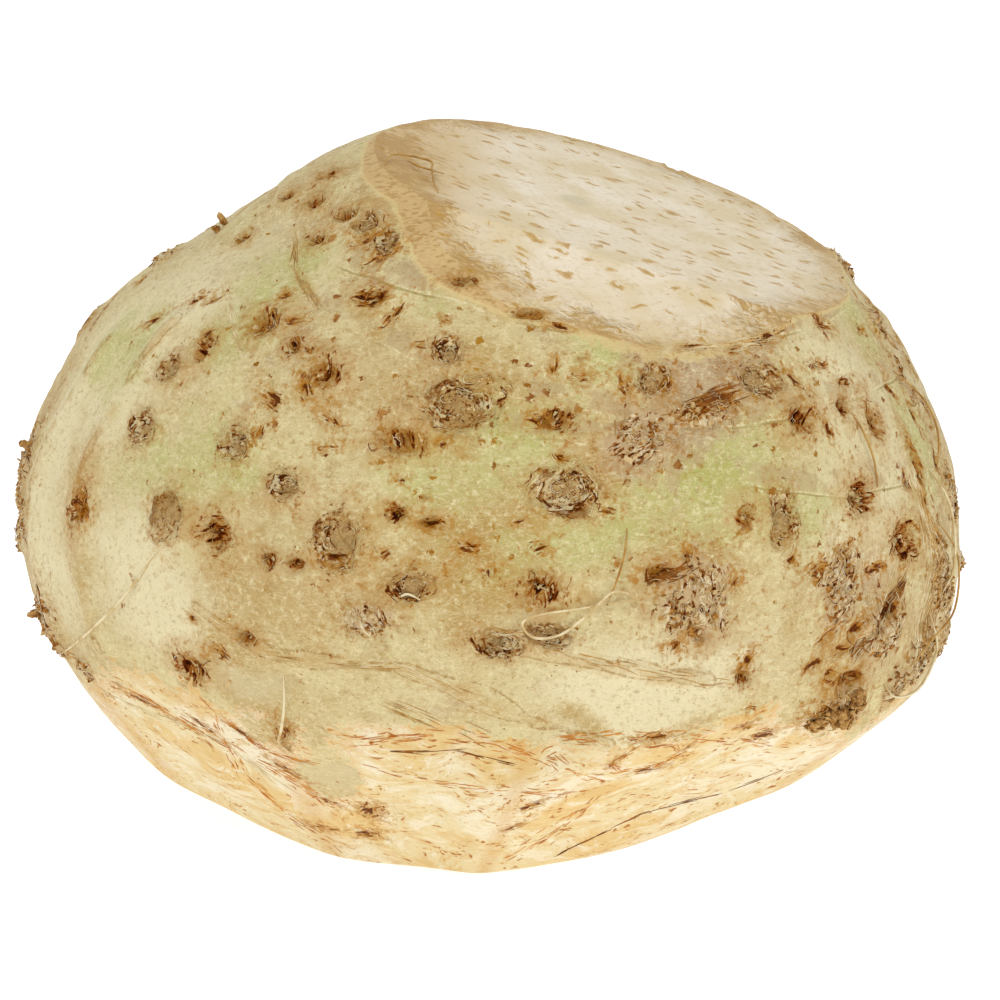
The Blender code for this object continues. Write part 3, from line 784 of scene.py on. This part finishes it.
ochre = node("MapRange", cloud_3, 0.45, 0.55)
halo = node("Mix", {0: ochre, 6: "#C09A64", 7: "#B68A42"}, out=2, data_type="RGBA")
colour = painted(
    skin,
    "#CDBB89",
    (
        (cloud, 0.42, 0.60, 1.0, "#C1A671"),
        (cloud_2, 0.50, 0.66, 0.8, "#D5C793"),
        (mottle, 0.50, 0.70, 0.6, "#A9884A"),
        (mottle_2, 0.50, 0.70, 0.5, "#DCCF9C"),
        (blooms["pale"], 0.25, 0.9, 0.9, "#E4D8B0"),
        (blooms["tan"], 0.35, 1.1, 0.8, "#B08F4C"),
        (blooms["green"], 0.15, 0.80, 0.85, "#BEBA7A"),
        (blooms["green"], 0.75, 1.2, 0.6, "#A6A550"),
        (blooms["lilac"], 0.35, 0.9, 0.8, "#B59A7A"),
        (blooms["lilac"], 0.8, 1.3, 0.7, "#927458"),
        (grit, 0.52, 0.72, 0.55, "#9C7A40"),
        (grit_2, 0.52, 0.72, 0.6, "#EADDB0"),
        (curly, 0.58, 0.66, 0.3, "#B98E52"),
        (blooms["grey"], 0.3, 0.9, 0.8, "#CBBA8E"),
        (fold_edge, 1.6, 0.2, 0.45, "#BF9A5C"),
        (fold_line, 0.85, 0.55, 0.7, "#9C7430"),
        (thread, 0.006, -0.004, 0.35, "#E5D8AE"),
        *ring_coats_and_crease_shade,
        (stroke, 0.10, 0.02, 0.35, "#B98E4E"),
        (stroke, 0.02, -0.03, 0.85, rust),
        (speck, 0.05, -0.03, 0.95, speck_colour),
        (blotted["eye"], 2.1, 1.3, 0.3, halo),
        (blotted["pit"], 2.4, 1.4, 0.35, halo),
        (blotted["crust"], 1.8, 1.1, 0.3, "#B99C6C"),
        (fouled, 0.33, 0.50, 0.45, "#AA7424"),
        (fouled, 0.46, 0.56, 0.4, "#8C4C00"),
        (ragged["eye"], 0.95, 0.75, 0.55, "#C2A06A"),
        (off_middle["eye"], 0.3, 0.1, 0.3, "#A87A30"),
        (brown_fibres["eye"], 0.45, 0.50, 0.85, "#884800"),
        (brown_fibres["eye"], 0.53, 0.57, 0.95, "#4A1C00"),
        (pale_fibres["eye"], 0.51, 0.56, 0.7, "#EBD9A8"),
        (eye_line, 0.04, -0.10, 0.65, "#7E4A10"),
        (ragged["pit"], 1.0, 0.5, 0.6, "#A87220"),
        (brown_fibres["pit"], 0.34, 0.40, 0.85, "#924A00"),
        (brown_fibres["pit"], 0.41, 0.46, 0.9, "#5C2200"),
        (brown_fibres["pit"], 0.47, 0.52, 0.95, "#2A0800"),
        (pale_fibres["pit"], 0.49, 0.53, 0.8, "#E4CA90"),
        (ragged["crust"], 1.1, 0.85, 0.7, "#CBB188"),
        (brown_fibres["crust"], 0.49, 0.54, 0.9, "#864800"),
        (brown_fibres["crust"], 0.56, 0.60, 0.95, "#461A00"),
        (pale_fibres["crust"], 0.54, 0.59, 0.7, "#EADBB4"),
    ),
)

# Tan rind scraped bare below the crown cut, streaked downhill, with a pale lip at its outer edge
rind_edge = node("Math.MULTIPLY_ADD", grit, 1.2, node("Math.SUBTRACT", field["rind_mm"], 0.6))
rind_run = {"Vector": at, "Rotation": (0.3, -0.5, -0.5), "Scale": (4.0, 1.0, 1.0)}
rind_place = node("Mapping", rind_run, vector_type="TEXTURE")
rind_noise = {"Vector": rind_place, "Scale": 1 / (0.5 * MM), "Detail": 3.0, "Distortion": 0.3}
rind_streak = node("TexNoise", rind_noise)
on_rind = node("MapRange", rind_edge, 0.0, 0.3)
rind_streak = node("Math.MULTIPLY", rind_streak, on_rind)
rind_lip = node("Math.ABSOLUTE", node("Math.SUBTRACT", rind_edge, 0.1))
rind_lip = node("Math.ADD", node("MapRange", field["rind_mm"], 0.2, 0.6), rind_lip)
colour = painted(
    skin,
    colour,
    (
        (rind_edge, 0.0, 0.25, 0.85, "#D2B27C"),
        (rind_streak, 0.48, 0.64, 0.6, "#A87E44"),
        (rind_lip, 0.35, 0.12, 0.6, "#DCC68C"),
        (base_edge, -0.3, 0.1, 1.0, flesh),
        (off_edge, 0.5, 0.1, 0.40, "#CF9C54"),
        (stain_fouled, 0.30, 0.46, 0.6, "#B07C30"),
        (brown_fibres["stain"], 0.37, 0.42, 0.9, rust),
        (brown_fibres["stain"], 0.46, 0.50, 0.85, "#4E1A00"),
    ),
)

# Relief: cork stands up broken, stains and holes sink, and the living skin is only finely pored
ring_share = node("Math.SUBTRACT", field["eye_share"], 0.7)
ring_share = node("Math.ADD", node("Math.ABSOLUTE", ring_share), 0.45)
corky = node("Math.MINIMUM", ring_share, field["pit_share"])
corky = node("Math.MINIMUM", corky, field["crust_share"])
corky = node("Math.MULTIPLY_ADD", grit_2, 1.2, node("Math.SUBTRACT", corky, 0.6))
corky = node("MapRange", {0: corky, 1: 1.4, 2: 0.8, 4: field["one_scar"]}, interpolation_type="SMOOTHSTEP")
height = node("Math.MULTIPLY", node("Math.SUBTRACT", torn_2, torn), corky)
height = node("Math.MULTIPLY_ADD", height, 1.1, grit)
height = node("Math.MULTIPLY_ADD", fibre, 0.5, height)
sunk = node("MapRange", {0: field["stain_share"], 1: 1.0, 2: 0.4, 4: 0.5}, interpolation_type="SMOOTHSTEP")
height = node("Math.SUBTRACT", height, sunk)
roughness = node("MapRange", {0: corky, 3: 0.48, 4: 0.85})
finish_material(skin, Base_Color=colour, Roughness=roughness, Height=height)
mesh.materials.append(skin)

# ---- Crown cut ----
# Firm wet flesh, sliced across the vessels that fed the leaves, so their cut ends show as short ochre flecks
# that lie along the cut and bend with its grain. The pith is greyer, and a tan fibrous rind runs round the rim.
PITH = Vector((10.5, -5.7, 90.8)) * MM + shift
crown_flesh = new_material("sliced_crown_flesh", 0.42, 0.1, 0.4)
node = partial(add_node, crown_flesh)
at = node("TexCoord", out=3)
from_pith = node("VectorMath.SUBTRACT", at, PITH)
outward = node("VectorMath.LENGTH", from_pith, out=1)
clouds = node("TexNoise", {"Vector": at, "Scale": 1 / (9 * MM), "Detail": 3.0}, out=1)
cloud = node("SeparateColor", clouds)
cloud_2, cloud_3 = cloud.node.outputs[1:]
pulp = node("TexNoise", {"Vector": at, "Scale": 1 / (0.8 * MM), "Detail": 3.0})
sides = node("SeparateXYZ", from_pith)

# Flecks of vessel lie along the cut and bend with its grain, and thin out towards the pith
bent = node("VectorMath.MULTIPLY_ADD", clouds, (0.005, 0.010, 0.0), at)
dash_size = {"Vector": bent, "Rotation": (0.0, 0.0, -0.12), "Scale": (3.9 * MM, 1.9 * MM, 1.0)}
dash_place = node("Mapping", dash_size, vector_type="TEXTURE")
dash_cells = node("TexVoronoi", {"Vector": dash_place, "Scale": 1.0}, voronoi_dimensions="2D")
dash_dice = node("SeparateColor", dash_cells.node.outputs["Color"])
dash_reach = node("Math.MULTIPLY_ADD", dash_dice, 0.46, -0.04)
split = node("TexNoise", {"Vector": dash_place, "Scale": 6.0, "Detail": 3.0, "Roughness": 0.6})
dash = node("Math.ADD", node("Math.MULTIPLY_ADD", split, 0.9, -0.28), dash_cells)
dash = node("Math.SUBTRACT", dash, dash_reach)
dash = node("Math.MULTIPLY_ADD", node("MapRange", outward, 0.009, 0.005), 0.3, dash)

# A fibrous rind round the rim, widest at the left and front ends, drawn out in strands
strand_run = {"Vector": bent, "Rotation": (0.0, 0.0, -0.3), "Scale": (4.5, 1.0, 1.0)}
strand_place = node("Mapping", strand_run, vector_type="TEXTURE")
strand = node("TexNoise", {"Vector": strand_place, "Scale": 1 / (0.6 * MM), "Detail": 3.0, "Roughness": 0.6})
crown_edge = node("Attribute", out=2, attribute_name="crown_mm")
rind = node("Math.MULTIPLY_ADD", cloud, 5.0, node("Math.SUBTRACT", crown_edge, 5.0))
rind = node("Math.MULTIPLY_ADD", split, 5.0, rind)
left_end = node("MapRange", {0: sides, 1: -0.006, 2: -0.026, 4: 1.0})
front_end = node("MapRange", {0: sides.node.outputs[1], 1: -0.018, 2: -0.034, 4: 0.3})
fibrous = node("Math.MAXIMUM", node("MapRange", {0: rind, 1: 2.8, 2: 0.4, 4: 0.8}), left_end)
fibrous = node("Math.MAXIMUM", fibrous, front_end)
fibrous = node("Math.MULTIPLY", fibrous, node("Math.MULTIPLY_ADD", cloud_3, 1.4, 0.2))
straw = node("Math.MULTIPLY", strand, fibrous)
pith_edge = node("Math.MULTIPLY_ADD", pulp, 0.003, outward)
dash_colour = node("Mix", {0: cloud_2, 6: "#B2842A", 7: "#D2A650"}, out=2, data_type="RGBA")
colour = painted(
    crown_flesh,
    "#EBDDC2",
    (
        (cloud, 0.40, 0.62, 1.0, "#E2D0AA"),
        (cloud_3, 0.5, 0.66, 0.7, "#F4E9D4"),
        (pulp, 0.5, 0.7, 0.35, "#CDB78A"),
        (fibrous, 0.0, 0.9, 0.9, "#D2B276"),
        (straw, 0.26, 0.44, 0.55, "#A87A32"),
        (dash, 0.14, 0.0, 0.7, dash_colour),
        (dash, -0.04, -0.16, 0.35, "#8E601E"),
        (pith_edge, 0.0042, 0.0030, 0.5, "#C6BC98"),
    ),
)
height = node("Math.MULTIPLY", strand, node("Math.MULTIPLY_ADD", fibrous, 0.9, 0.15))
finish_material(crown_flesh, Base_Color=colour, Height=node("Math.MULTIPLY_ADD", pulp, 0.3, height))
mesh.materials.append(crown_flesh)

# A face belongs to the crown cut where the middle of it lies beyond that cut
triangles = np.zeros(len(mesh.polygons) * 3, dtype=int)
mesh.polygons.foreach_get("vertices", triangles)
on_crown = follows["crown_mm"][triangles.reshape(-1, 3)].mean(axis=1) > 0
mesh.polygons.foreach_set("material_index", on_crown.astype(np.int32))
mesh.update()

# ---- Hairs, strands and rootlets ----
# The root's own dry fibres: wisps torn up where side roots and leaves came off, vessels left bare by the
# knife, and a few whole hair roots. They are stiff, a tenth of a millimetre thick, and grow out of the skin.
WELL_OUTSIDE = 0.2  # metres from the middle of the root


def skin_at(longitude, latitude):
    """The skin's place and outward normal at a longitude and latitude."""
    direction = Vector(direction_of(longitude, latitude))
    core = Vector(CORE) * MM + shift
    place, normal, _, _ = root_touch.ray_cast(core + direction * WELL_OUTSIDE, -direction)
    return place, normal


def skin_in(scar, around, share):
    """The skin's place and normal a share of the way out from a scar's middle, on a bearing round it."""
    longitude, latitude, half_width, half_height, *_ = scar
    east, north = share * half_width * math.cos(around), share * half_height * math.sin(around)
    eastward = math.degrees(east / SCALE_RADIUS) / math.cos(math.radians(latitude))
    return skin_at(longitude + eastward, latitude + math.degrees(north / SCALE_RADIUS))


def past_cuts(place):
    """Millimetres that a place on the root is beyond the nearest cut, below zero on skin."""
    cuts = [*CROWN_CUTS, *base_cuts()]
    return max((np.array(place - shift) / MM - point) @ axis for point, axis in cuts)


def trail(place, heading, length, curl, lift, steps, bend=0.0):
    """Points of a hair that wanders over the skin, lifted from it in the middle."""
    points = []
    turn = bend
    for i in range(steps + 1):
        place, normal, _, _ = root_touch.find_nearest(place)
        heading = (heading - normal * heading.dot(normal)).normalized()
        points.append(place + normal * (lift * math.sin(math.pi * i / steps)))
        turn += hair_rng.gauss(0, curl)
        heading = Matrix.Rotation(turn, 3, normal) @ heading
        place = place + heading * (length / steps)
    return points


def add_hairs(name, hairs, thickness, material):
    """One piece of many hairs that taper to both ends."""
    data = bpy.data.curves.new(name, "CURVE")
    data.dimensions = "3D"
    data.bevel_depth = thickness / 2
    data.bevel_resolution = 0
    data.use_fill_caps = True
    for points in hairs:
        spline = data.splines.new("POLY")
        spline.points.add(len(points) - 1)
        spline.points.foreach_set("co", [value for point in points for value in (*point, 1)])
        taper = [0.35 + 0.65 * math.sin(math.pi * (i + 0.5) / len(points)) for i in range(len(points))]
        spline.points.foreach_set("radius", taper)
        spline.use_smooth = True
    data.materials.append(material)
    add_piece(name, data)


# Dead root fibre dries to matt threads, whose colour drifts from straw to brown along their length
def fibre_material(name, ground, coat):
    material = new_material(name, 0.6, 0.15, 0.05)
    at = add_node(material, "TexCoord", out=3)
    drift = add_node(material, "TexNoise", {"Vector": at, "Scale": 1 / (2.5 * MM), "Detail": 2.0})
    colour = painted(material, ground, ((drift, 0.4, 0.6, 1.0, coat),))
    finish_material(material, Base_Color=colour, Height=drift)
    return material


pale_fibre = fibre_material("bleached_root_fibre", "#E8D9B0", "#CDB27C")
straw_fibre = fibre_material("straw_root_fibre", "#C59C58", "#A87C3C")
brown_fibre = fibre_material("brown_root_fibre", "#9C5E1C", "#6A360E")
orange_vessel = fibre_material("orange_root_vessel", "#D9943C", "#B8681E")
hair_rng = random.Random(12)
scars = [(kind, scar) for kind, group in (("eye", eyes), ("pit", pits), ("crust", crusts)) for scar in group]
TONES = ("pale", "straw", "brown")
# Wisps on a scar of middling size, how far out they grow, and how often each tone comes
WISPS = {
    "eye": (7, (0.3, 0.95), (6, 5, 1)),
    "pit": (7, (0.2, 1.0), (2, 4, 3)),
    "crust": (20, (0.2, 1.0), (6, 4, 1)),
}
MIDDLING_SCAR = 7  # square millimetres of half-width by half-height
WISP_STEPS = 5
WISP_CURL = 0.28  # radians at each step
wisps = {tone: [] for tone in TONES}
for kind, scar in scars:
    half_width, half_height = scar[2:4]
    usual, shares, odds = WISPS[kind]
    for _ in range(round(usual * max(0.5, half_width * half_height / MIDDLING_SCAR))):
        around = hair_rng.uniform(0, 2 * math.pi)
        share = hair_rng.uniform(*shares)
        place, normal = skin_in(scar, around, share)
        if past_cuts(place) > -0.3:
            continue
        eastward = Vector((0, 0, 1)).cross(normal).normalized()
        bearing = around + math.pi / 2 if kind == "eye" else hair_rng.uniform(0, 2 * math.pi)
        heading = eastward * math.cos(bearing) + normal.cross(eastward) * math.sin(bearing)
        length = hair_rng.uniform(0.7, 2.4) * MM
        bend = length / WISP_STEPS / MM / (share * (half_width + half_height) / 2) if kind == "eye" else 0.0
        hair = trail(place, heading, length, WISP_CURL, hair_rng.uniform(0.02, 0.35) * MM, WISP_STEPS, bend)
        wisps[hair_rng.choices(TONES, odds)[0]].append(hair)
for tone, thickness, material in zip(TONES, (0.11, 0.12, 0.14), (pale_fibre, straw_fibre, brown_fibre)):
    add_hairs(tone + "_wisps", wisps[tone], thickness * MM, material)

# Strands laid along creases and cuts: points as longitude and latitude, how many, spread and kind
STRANDS = (
    (((-91, -1), (-82, -4), (-72, -7), (-62, -9)), 13, 0.9, "straw"),
    (((-91, -1), (-82, -4), (-70, -7)), 12, 0.9, "pale"),
    (((-129, -1), (-119, -6), (-103, -6), (-94, -10), (-76, -18)), 16, 0.8, "pale"),
    (((-119, -6), (-103, -6), (-94, -10)), 5, 0.7, "straw"),
    (((-104, -12), (-99, -14.5), (-94, -17.5)), 8, 0.9, "straw"),
    (((-142, 50), (-135, 45), (-124, 40)), 12, 0.4, "straw"),
    (((-150, 41), (-141, 36), (-132, 30)), 12, 0.5, "pale"),
    (((-111, -19), (-101, -17), (-90, -18), (-82, -21), (-75, -27)), 46, 1.0, "orange"),
    (((-110, -24), (-99, -27), (-87, -27), (-76, -30)), 22, 0.8, "orange"),
    (((-106, -20.5), (-97, -19.5), (-86, -22.5)), 7, 0.2, "brown"),
    (((-159, -14), (-147, -17), (-139, -23), (-128, -28), (-122, -35), (-119, -44)), 60, 1.4, "orange"),
    (((-132, -18), (-138, -32), (-135, -42), (-129, -50)), 34, 1.2, "orange"),
    (((-132, -15), (-127, -23), (-119, -25)), 22, 0.6, "orange"),
    (((-156, -19), (-145, -22), (-135, -25), (-128, -34)), 26, 1.0, "pale"),
    (((-75, -54), (-60, -43), (-46, -38), (-38, -30)), 16, 0.3, "brown"),
    (((-82, -17), (-75, -16), (-66, -17), (-55, -21), (-43, -24)), 40, 1.0, "orange"),
    (((-90, -52), (-78, -43), (-73, -32)), 24, 1.8, "orange"),
    (((-64, -21), (-66, -19), (-71, -19), (-75, -22), (-72, -25), (-66, -25), (-63, -22)), 24, 0.6, "orange"),
    (((-24, 8), (-23, -2), (-25, -14)), 90, 2.0, "straw"),
    (((-25, 10), (-24.5, -2), (-27, -13)), 80, 1.4, "pale"),
    (((-34, -1), (-37, -6), (-42, -9)), 40, 1.2, "pale"),
    (((-32, -2), (-36, -5), (-41, -9)), 26, 0.9, "brown"),
    (((-63, 25), (-56, 26)), 26, 1.0, "brown"),
    (((-66, 33), (-56, 32.5), (-46, 31.5)), 30, 0.9, "pale"),
    (((-71, 4.5), (-67, 6)), 16, 0.7, "brown"),
)
STRAND_CURL = 0.015  # radians at each step
STRAND_LIFT = 0.02 * MM
STRAND_STEPS = 6
strands = {"pale": [], "straw": [], "brown": [], "orange": []}
for line, count, spread, tone in STRANDS:
    places = [skin_at(*point) for point in line]
    short = 0.55 if tone == "orange" else 1
    for _ in range(round(count * (1.6 if tone == "orange" else 2))):
        leg = hair_rng.randrange(len(places) - 1)
        (start, normal), (end, _) = places[leg], places[leg + 1]
        along = end - start
        side = normal.cross(along).normalized()
        place = start + along * hair_rng.random() + side * hair_rng.gauss(0, spread * 0.6) * MM
        length = min(along.length, hair_rng.uniform(1.5, 5.0) * short * MM)
        first = place - along.normalized() * length / 2
        strands[tone].append(trail(first, along, length, STRAND_CURL, STRAND_LIFT, STRAND_STEPS))
add_hairs("pale_strands", strands["pale"], 0.11 * MM, pale_fibre)
add_hairs("straw_strands", strands["straw"], 0.12 * MM, straw_fibre)
add_hairs("brown_strands", strands["brown"], 0.13 * MM, brown_fibre)
add_hairs("orange_vessels", strands["orange"], 0.13 * MM, orange_vessel)

# Whole hair roots: points as longitude and latitude with a height off the skin
ROOTLETS = {
    "pale": (
        ((-136, 4, 0), (-141, -2, 0.5), (-147, -7, 0.7), (-154, -11, 0.4), (-160, -14, 0)),
        (
            (-76.5, 2.5, 0.2), (-79, 1.6, 0.6), (-85, 1.2, 0.9), (-87, -0.6, 0.8), (-86, -2.2, 0.5),
            (-82, -1.4, 0.8), (-79, 1.0, 1.0), (-76, 3.4, 0.8), (-73.4, 2.4, 0.6), (-77, 1.9, 0.3),
        ),
        ((-118, -9, 0), (-118.4, -13, 0.7), (-120, -17, 0.9), (-121.6, -20, 0.6), (-121, -23, 0)),
        ((-103, 2, 0), (-101.4, 3.4, 0.4), (-99.6, 2.6, 0.1)),
        ((-19, 9, 0), (-18, 5, 1.2), (-19, 1, 1.8), (-21, -3, 1.0), (-22, -6, 0)),
        ((-24, -8, 0), (-24, -12, 1.6), (-27, -16, 2.0), (-31, -17, 1.0), (-33, -15, 0)),
        ((60, 5, 0), (66, 0, 0.8), (68, -6, 0.6), (76, -9, 0)),
    ),
    "straw": (
        ((-74, 11, 0), (-74.5, 8, 0.6), (-75.5, 5, 0.8), (-76.5, 2.5, 0.2)),
        ((-36, 21, 0), (-35.4, 18, 0.5), (-35, 14, 0.6), (-35.6, 10.5, 0.2)),
        ((-135, 66.5, 0.1), (-142, 70, 0.8), (-134, 74, 1.0), (-124, 71, 0.9), (-116, 67, 0.5), (-111, 64.4, 0.1)),
        ((-137, 71, 0.5), (-128, 70, 0.9), (-122, 73.5, 0.3)),
        ((-21, 3, 0), (-20, -2, 1.5), (-22, -7, 2.2), (-26, -11, 1.4), (-28, -14, 0)),
        ((-17, 22, 0), (-14, 17, 1.0), (-14, 12, 1.2), (-16, 8, 0)),
        ((128, 12, 0), (124, 6, 0.7), (127, 0, 0.5), (121, -5, 0)),
    ),
}
ROOTLET_STEPS = 7  # points to each leg
for tone, material, thickness in (("pale", pale_fibre, 0.42), ("straw", straw_fibre, 0.32)):
    rootlets = []
    for line in ROOTLETS[tone]:
        places = []
        for longitude, latitude, off in line:
            place, normal = skin_at(longitude, latitude)
            places.append(place + normal * off * MM)
        points = []
        for i in range(len(places) - 1):
            legs = [places[max(i - 1, 0)], places[i], places[i + 1], places[min(i + 2, len(places) - 1)]]
            for step in range(ROOTLET_STEPS):
                weights = spline_weights(step / ROOTLET_STEPS)
                points.append(sum((leg * weight for leg, weight in zip(legs, weights)), Vector()))
        points.append(places[-1])
        rootlets.append(points)
    add_hairs(tone + "_rootlets", rootlets, thickness * MM, material)

# ---- Cork crumbs ----
# Dead cork that has dried and cracked into flat dull chips, which still cling where it was torn. They lie
# thickest on the crusts at both sides, pale on top of them and darker in the mouths of the pits.
crumb_rng = random.Random(5)
noise.seed_set(5)  # the noise vectors that make cork ragged, here and on the stubs
# Crumbs on a scar of middling size, how far out they lie, how often they are dark, and the largest in mm
CRUMBS = {"pit": (1, 0.8, 0.75, 0.9), "crust": (20, 0.95, 0.4, 1.25)}
CRUMBS_IN_BATCH = 60  # a small mesh keeps each operator quick
crumbs_drawn = {"pale": [], "dark": []}
for kind, scar in scars[len(eyes) :]:
    usual, furthest, dark_share, largest = CRUMBS[kind]
    for _ in range(round(usual * max(0.5, scar[2] * scar[3] / MIDDLING_SCAR))):
        around = crumb_rng.uniform(0, 2 * math.pi)
        place, normal = skin_in(scar, around, math.sqrt(crumb_rng.uniform(0.05, 1.0)) * furthest)
        if past_cuts(place) > -0.5:
            continue
        tone = "dark" if crumb_rng.random() < dark_share else "pale"
        crumbs_drawn[tone].append((place, normal, crumb_rng.uniform(0.35, 1.0) * largest))


def add_crumbs(name, drawn, material):
    """One piece of many flat ragged chips, half sunk in the skin."""
    whole = bmesh.new()
    for first in range(0, len(drawn), CRUMBS_IN_BATCH):
        batch = bmesh.new()
        for place, normal, size in drawn[first : first + CRUMBS_IN_BATCH]:
            turn = Matrix.Rotation(crumb_rng.uniform(0, 2 * math.pi), 4, "Z")
            turn = turn @ Matrix.Rotation(crumb_rng.uniform(-1.1, 1.1), 4, "Y")
            width = crumb_rng.uniform(0.2, 0.4)
            shape = Matrix.Diagonal((size * MM * 0.6, size * MM * width, size * MM * 0.14, 1))
            stand = normal.to_track_quat("Z", "Y").to_matrix().to_4x4()
            made = bmesh.ops.create_icosphere(
                batch, subdivisions=2, radius=1, matrix=Matrix.Translation(place) @ stand @ turn @ shape
            )["verts"]
            for vertex in made:
                vertex.co += noise.noise_vector(vertex.co / (0.6 * MM)) * size * 0.25 * MM
        chips = bpy.data.meshes.new(name)
        batch.to_mesh(chips)
        whole.from_mesh(chips)
        bpy.data.meshes.remove(chips)
    data = bpy.data.meshes.new(name)
    whole.to_mesh(data)
    data.materials.append(material)
    add_piece(name, data)


# Dead cork is dull and crumbly: it shows as patches of two browns, with a fine grain through both
def cork_material(name, ground, patched, grained):
    material = new_material(name, 0.85, 0.1, 0.2)
    node = partial(add_node, material)
    at = node("TexCoord", out=3)
    patch = node("TexNoise", {"Vector": at, "Scale": 1 / (1.6 * MM), "Detail": 3.0, "Roughness": 0.65})
    grain = node("TexNoise", {"Vector": at, "Scale": 1 / (0.4 * MM), "Detail": 2.0})
    colour = painted(material, ground, ((patch, 0.42, 0.6, 1.0, patched), (grain, 0.5, 0.65, 0.7, grained)))
    finish_material(material, Base_Color=colour, Height=grain)
    return material


straw_cork = cork_material("straw_cork", "#C4A470", "#D2B98A", "#A67E40")
tan_cork = cork_material("tan_cork", "#B88C50", "#8E5A1C", "#DCBC82")
brown_cork = cork_material("brown_cork", "#A67030", "#7C4610", "#C89C58")
add_crumbs("pale_cork_crumbs", crumbs_drawn["pale"], straw_cork)
add_crumbs("dark_cork_crumbs", crumbs_drawn["dark"], brown_cork)

# ---- Root stubs ----
# Side roots that broke off instead of tearing out leave short dead stubs, shrunk and gone to brown cork,
# and a cluster of them low on the right makes one rough lump.
STUBS = (  # longitude, latitude, half-thickness, half-length
    (-172, 47, 0.6, 1.4), (-171, 45.5, 0.6, 0.8), (-171, 9, 0.8, 1.0), (-162, -9, 0.8, 1.1),
    (-45, -18.2, 1.5, 0.7), (-43, -16.8, 1.9, 1.0), (-41.2, -17.6, 1.6, 1.1), (-40, -15.4, 1.6, 0.8),
    (-38.6, -16.4, 1.3, 0.8),
    (40, 12, 0.7, 1.2), (78, 24, 0.6, 1.0), (104, -4, 0.8, 1.0), (146, 6, 0.6, 1.3),
)
stub_mesh = bmesh.new()
for longitude, latitude, half_thickness, half_length in STUBS:
    place, normal = skin_at(longitude, latitude)
    stand = normal.to_track_quat("Z", "Y").to_matrix().to_4x4()
    shape = Matrix.Diagonal((half_thickness * MM, half_thickness * 0.75 * MM, half_length * MM, 1))
    matrix = Matrix.Translation(place + normal * half_length * 0.3 * MM) @ stand @ shape
    made = bmesh.ops.create_icosphere(stub_mesh, subdivisions=4, radius=1, matrix=matrix)["verts"]
    for vertex in made:
        vertex.co += noise.turbulence_vector(vertex.co / (0.9 * MM), 4, False) * half_thickness * 0.6 * MM
stub_data = bpy.data.meshes.new("root_stubs")
stub_mesh.to_mesh(stub_data)
stub_data.materials.append(tan_cork)
add_piece("root_stubs", stub_data)

# ---- Floor, light and camera ----
# A plain white sweep that rises behind the root, two large soft lamps, and a camera a little above it,
# so that the skin shows in even light with a soft shade under the root.
SWEEP_WIDTH = 6.0
SWEEP_DEPTH = 2.0
SWEEP_RADIUS = 1.0
sweep_mesh = bmesh.new()
start = [sweep_mesh.verts.new((side * SWEEP_WIDTH / 2, -SWEEP_DEPTH, 0)) for side in (-1, 1)]
line = [sweep_mesh.edges.new(start)]
front = bmesh.ops.extrude_edge_only(sweep_mesh, edges=line)["geom"]
far = [v for v in front if isinstance(v, bmesh.types.BMVert)]
bmesh.ops.translate(sweep_mesh, verts=far, vec=(0, 2 * SWEEP_DEPTH, 0))
back = [edge for edge in sweep_mesh.edges if all(vertex in far for vertex in edge.verts)]
bmesh.ops.spin(
    sweep_mesh, geom=back, cent=(0, SWEEP_DEPTH, SWEEP_RADIUS), axis=(1, 0, 0), angle=math.radians(90), steps=24
)
sweep_data = bpy.data.meshes.new("sweep")
sweep_mesh.to_mesh(sweep_data)
sweep_data.shade_smooth()
sweep = bpy.data.objects.new("sweep", sweep_data)
bpy.context.scene.collection.objects.link(sweep)
paper = bpy.data.materials.new("white_paper")
paper.use_nodes = True
paper_shader = paper.node_tree.nodes["Principled BSDF"]
paper_shader.inputs["Base Color"].default_value = linear("#C8C8C8")
paper_shader.inputs["Roughness"].default_value = 0.9
paper_shader.inputs["Specular IOR Level"].default_value = 0.0
paper_shader.inputs["Emission Color"].default_value = linear("#FFFFFF")
paper_shader.inputs["Emission Strength"].default_value = 0.8
sweep_data.materials.append(paper)

world = bpy.data.worlds.new("studio")
world.use_nodes = True
world.node_tree.nodes["Background"].inputs["Color"].default_value = linear("#FFFFFF")
world.node_tree.nodes["Background"].inputs["Strength"].default_value = 0.52
bpy.context.scene.world = world
bpy.context.scene.view_settings.view_transform = "Standard"


def add_lamp(name, place, size, power, towards=(0, 0, 0.05)):
    lamp_data = bpy.data.lights.new(name, "AREA")
    lamp_data.shape = "SQUARE"
    lamp_data.size = size
    lamp_data.energy = power
    lamp = bpy.data.objects.new(name, lamp_data)
    lamp.location = place
    lamp.rotation_euler = (Vector(towards) - Vector(place)).to_track_quat("-Z", "Y").to_euler()
    bpy.context.scene.collection.objects.link(lamp)


add_lamp("key_lamp", (-0.35, -0.5, 1.0), 0.5, 4.6)
add_lamp("fill_lamp", (0.9, -0.6, 0.4), 0.8, 2.8)

CAMERA_ELEVATION = 15
CAMERA_LENS = 120
FRAME_WIDTH = 0.1445  # metres of the root's middle across the picture
AIM = Vector((0, 0, 0.046)) + shift
distance = FRAME_WIDTH * CAMERA_LENS / 36
elevation = math.radians(CAMERA_ELEVATION)
camera_data = bpy.data.cameras.new("camera")
camera_data.lens = CAMERA_LENS
camera_data.clip_start = 0.01
camera = bpy.data.objects.new("camera", camera_data)
camera.location = AIM + Vector((0, -math.cos(elevation), math.sin(elevation))) * distance
camera.rotation_euler = (AIM - camera.location).to_track_quat("-Z", "Y").to_euler()
bpy.context.scene.collection.objects.link(camera)
bpy.context.scene.camera = camera
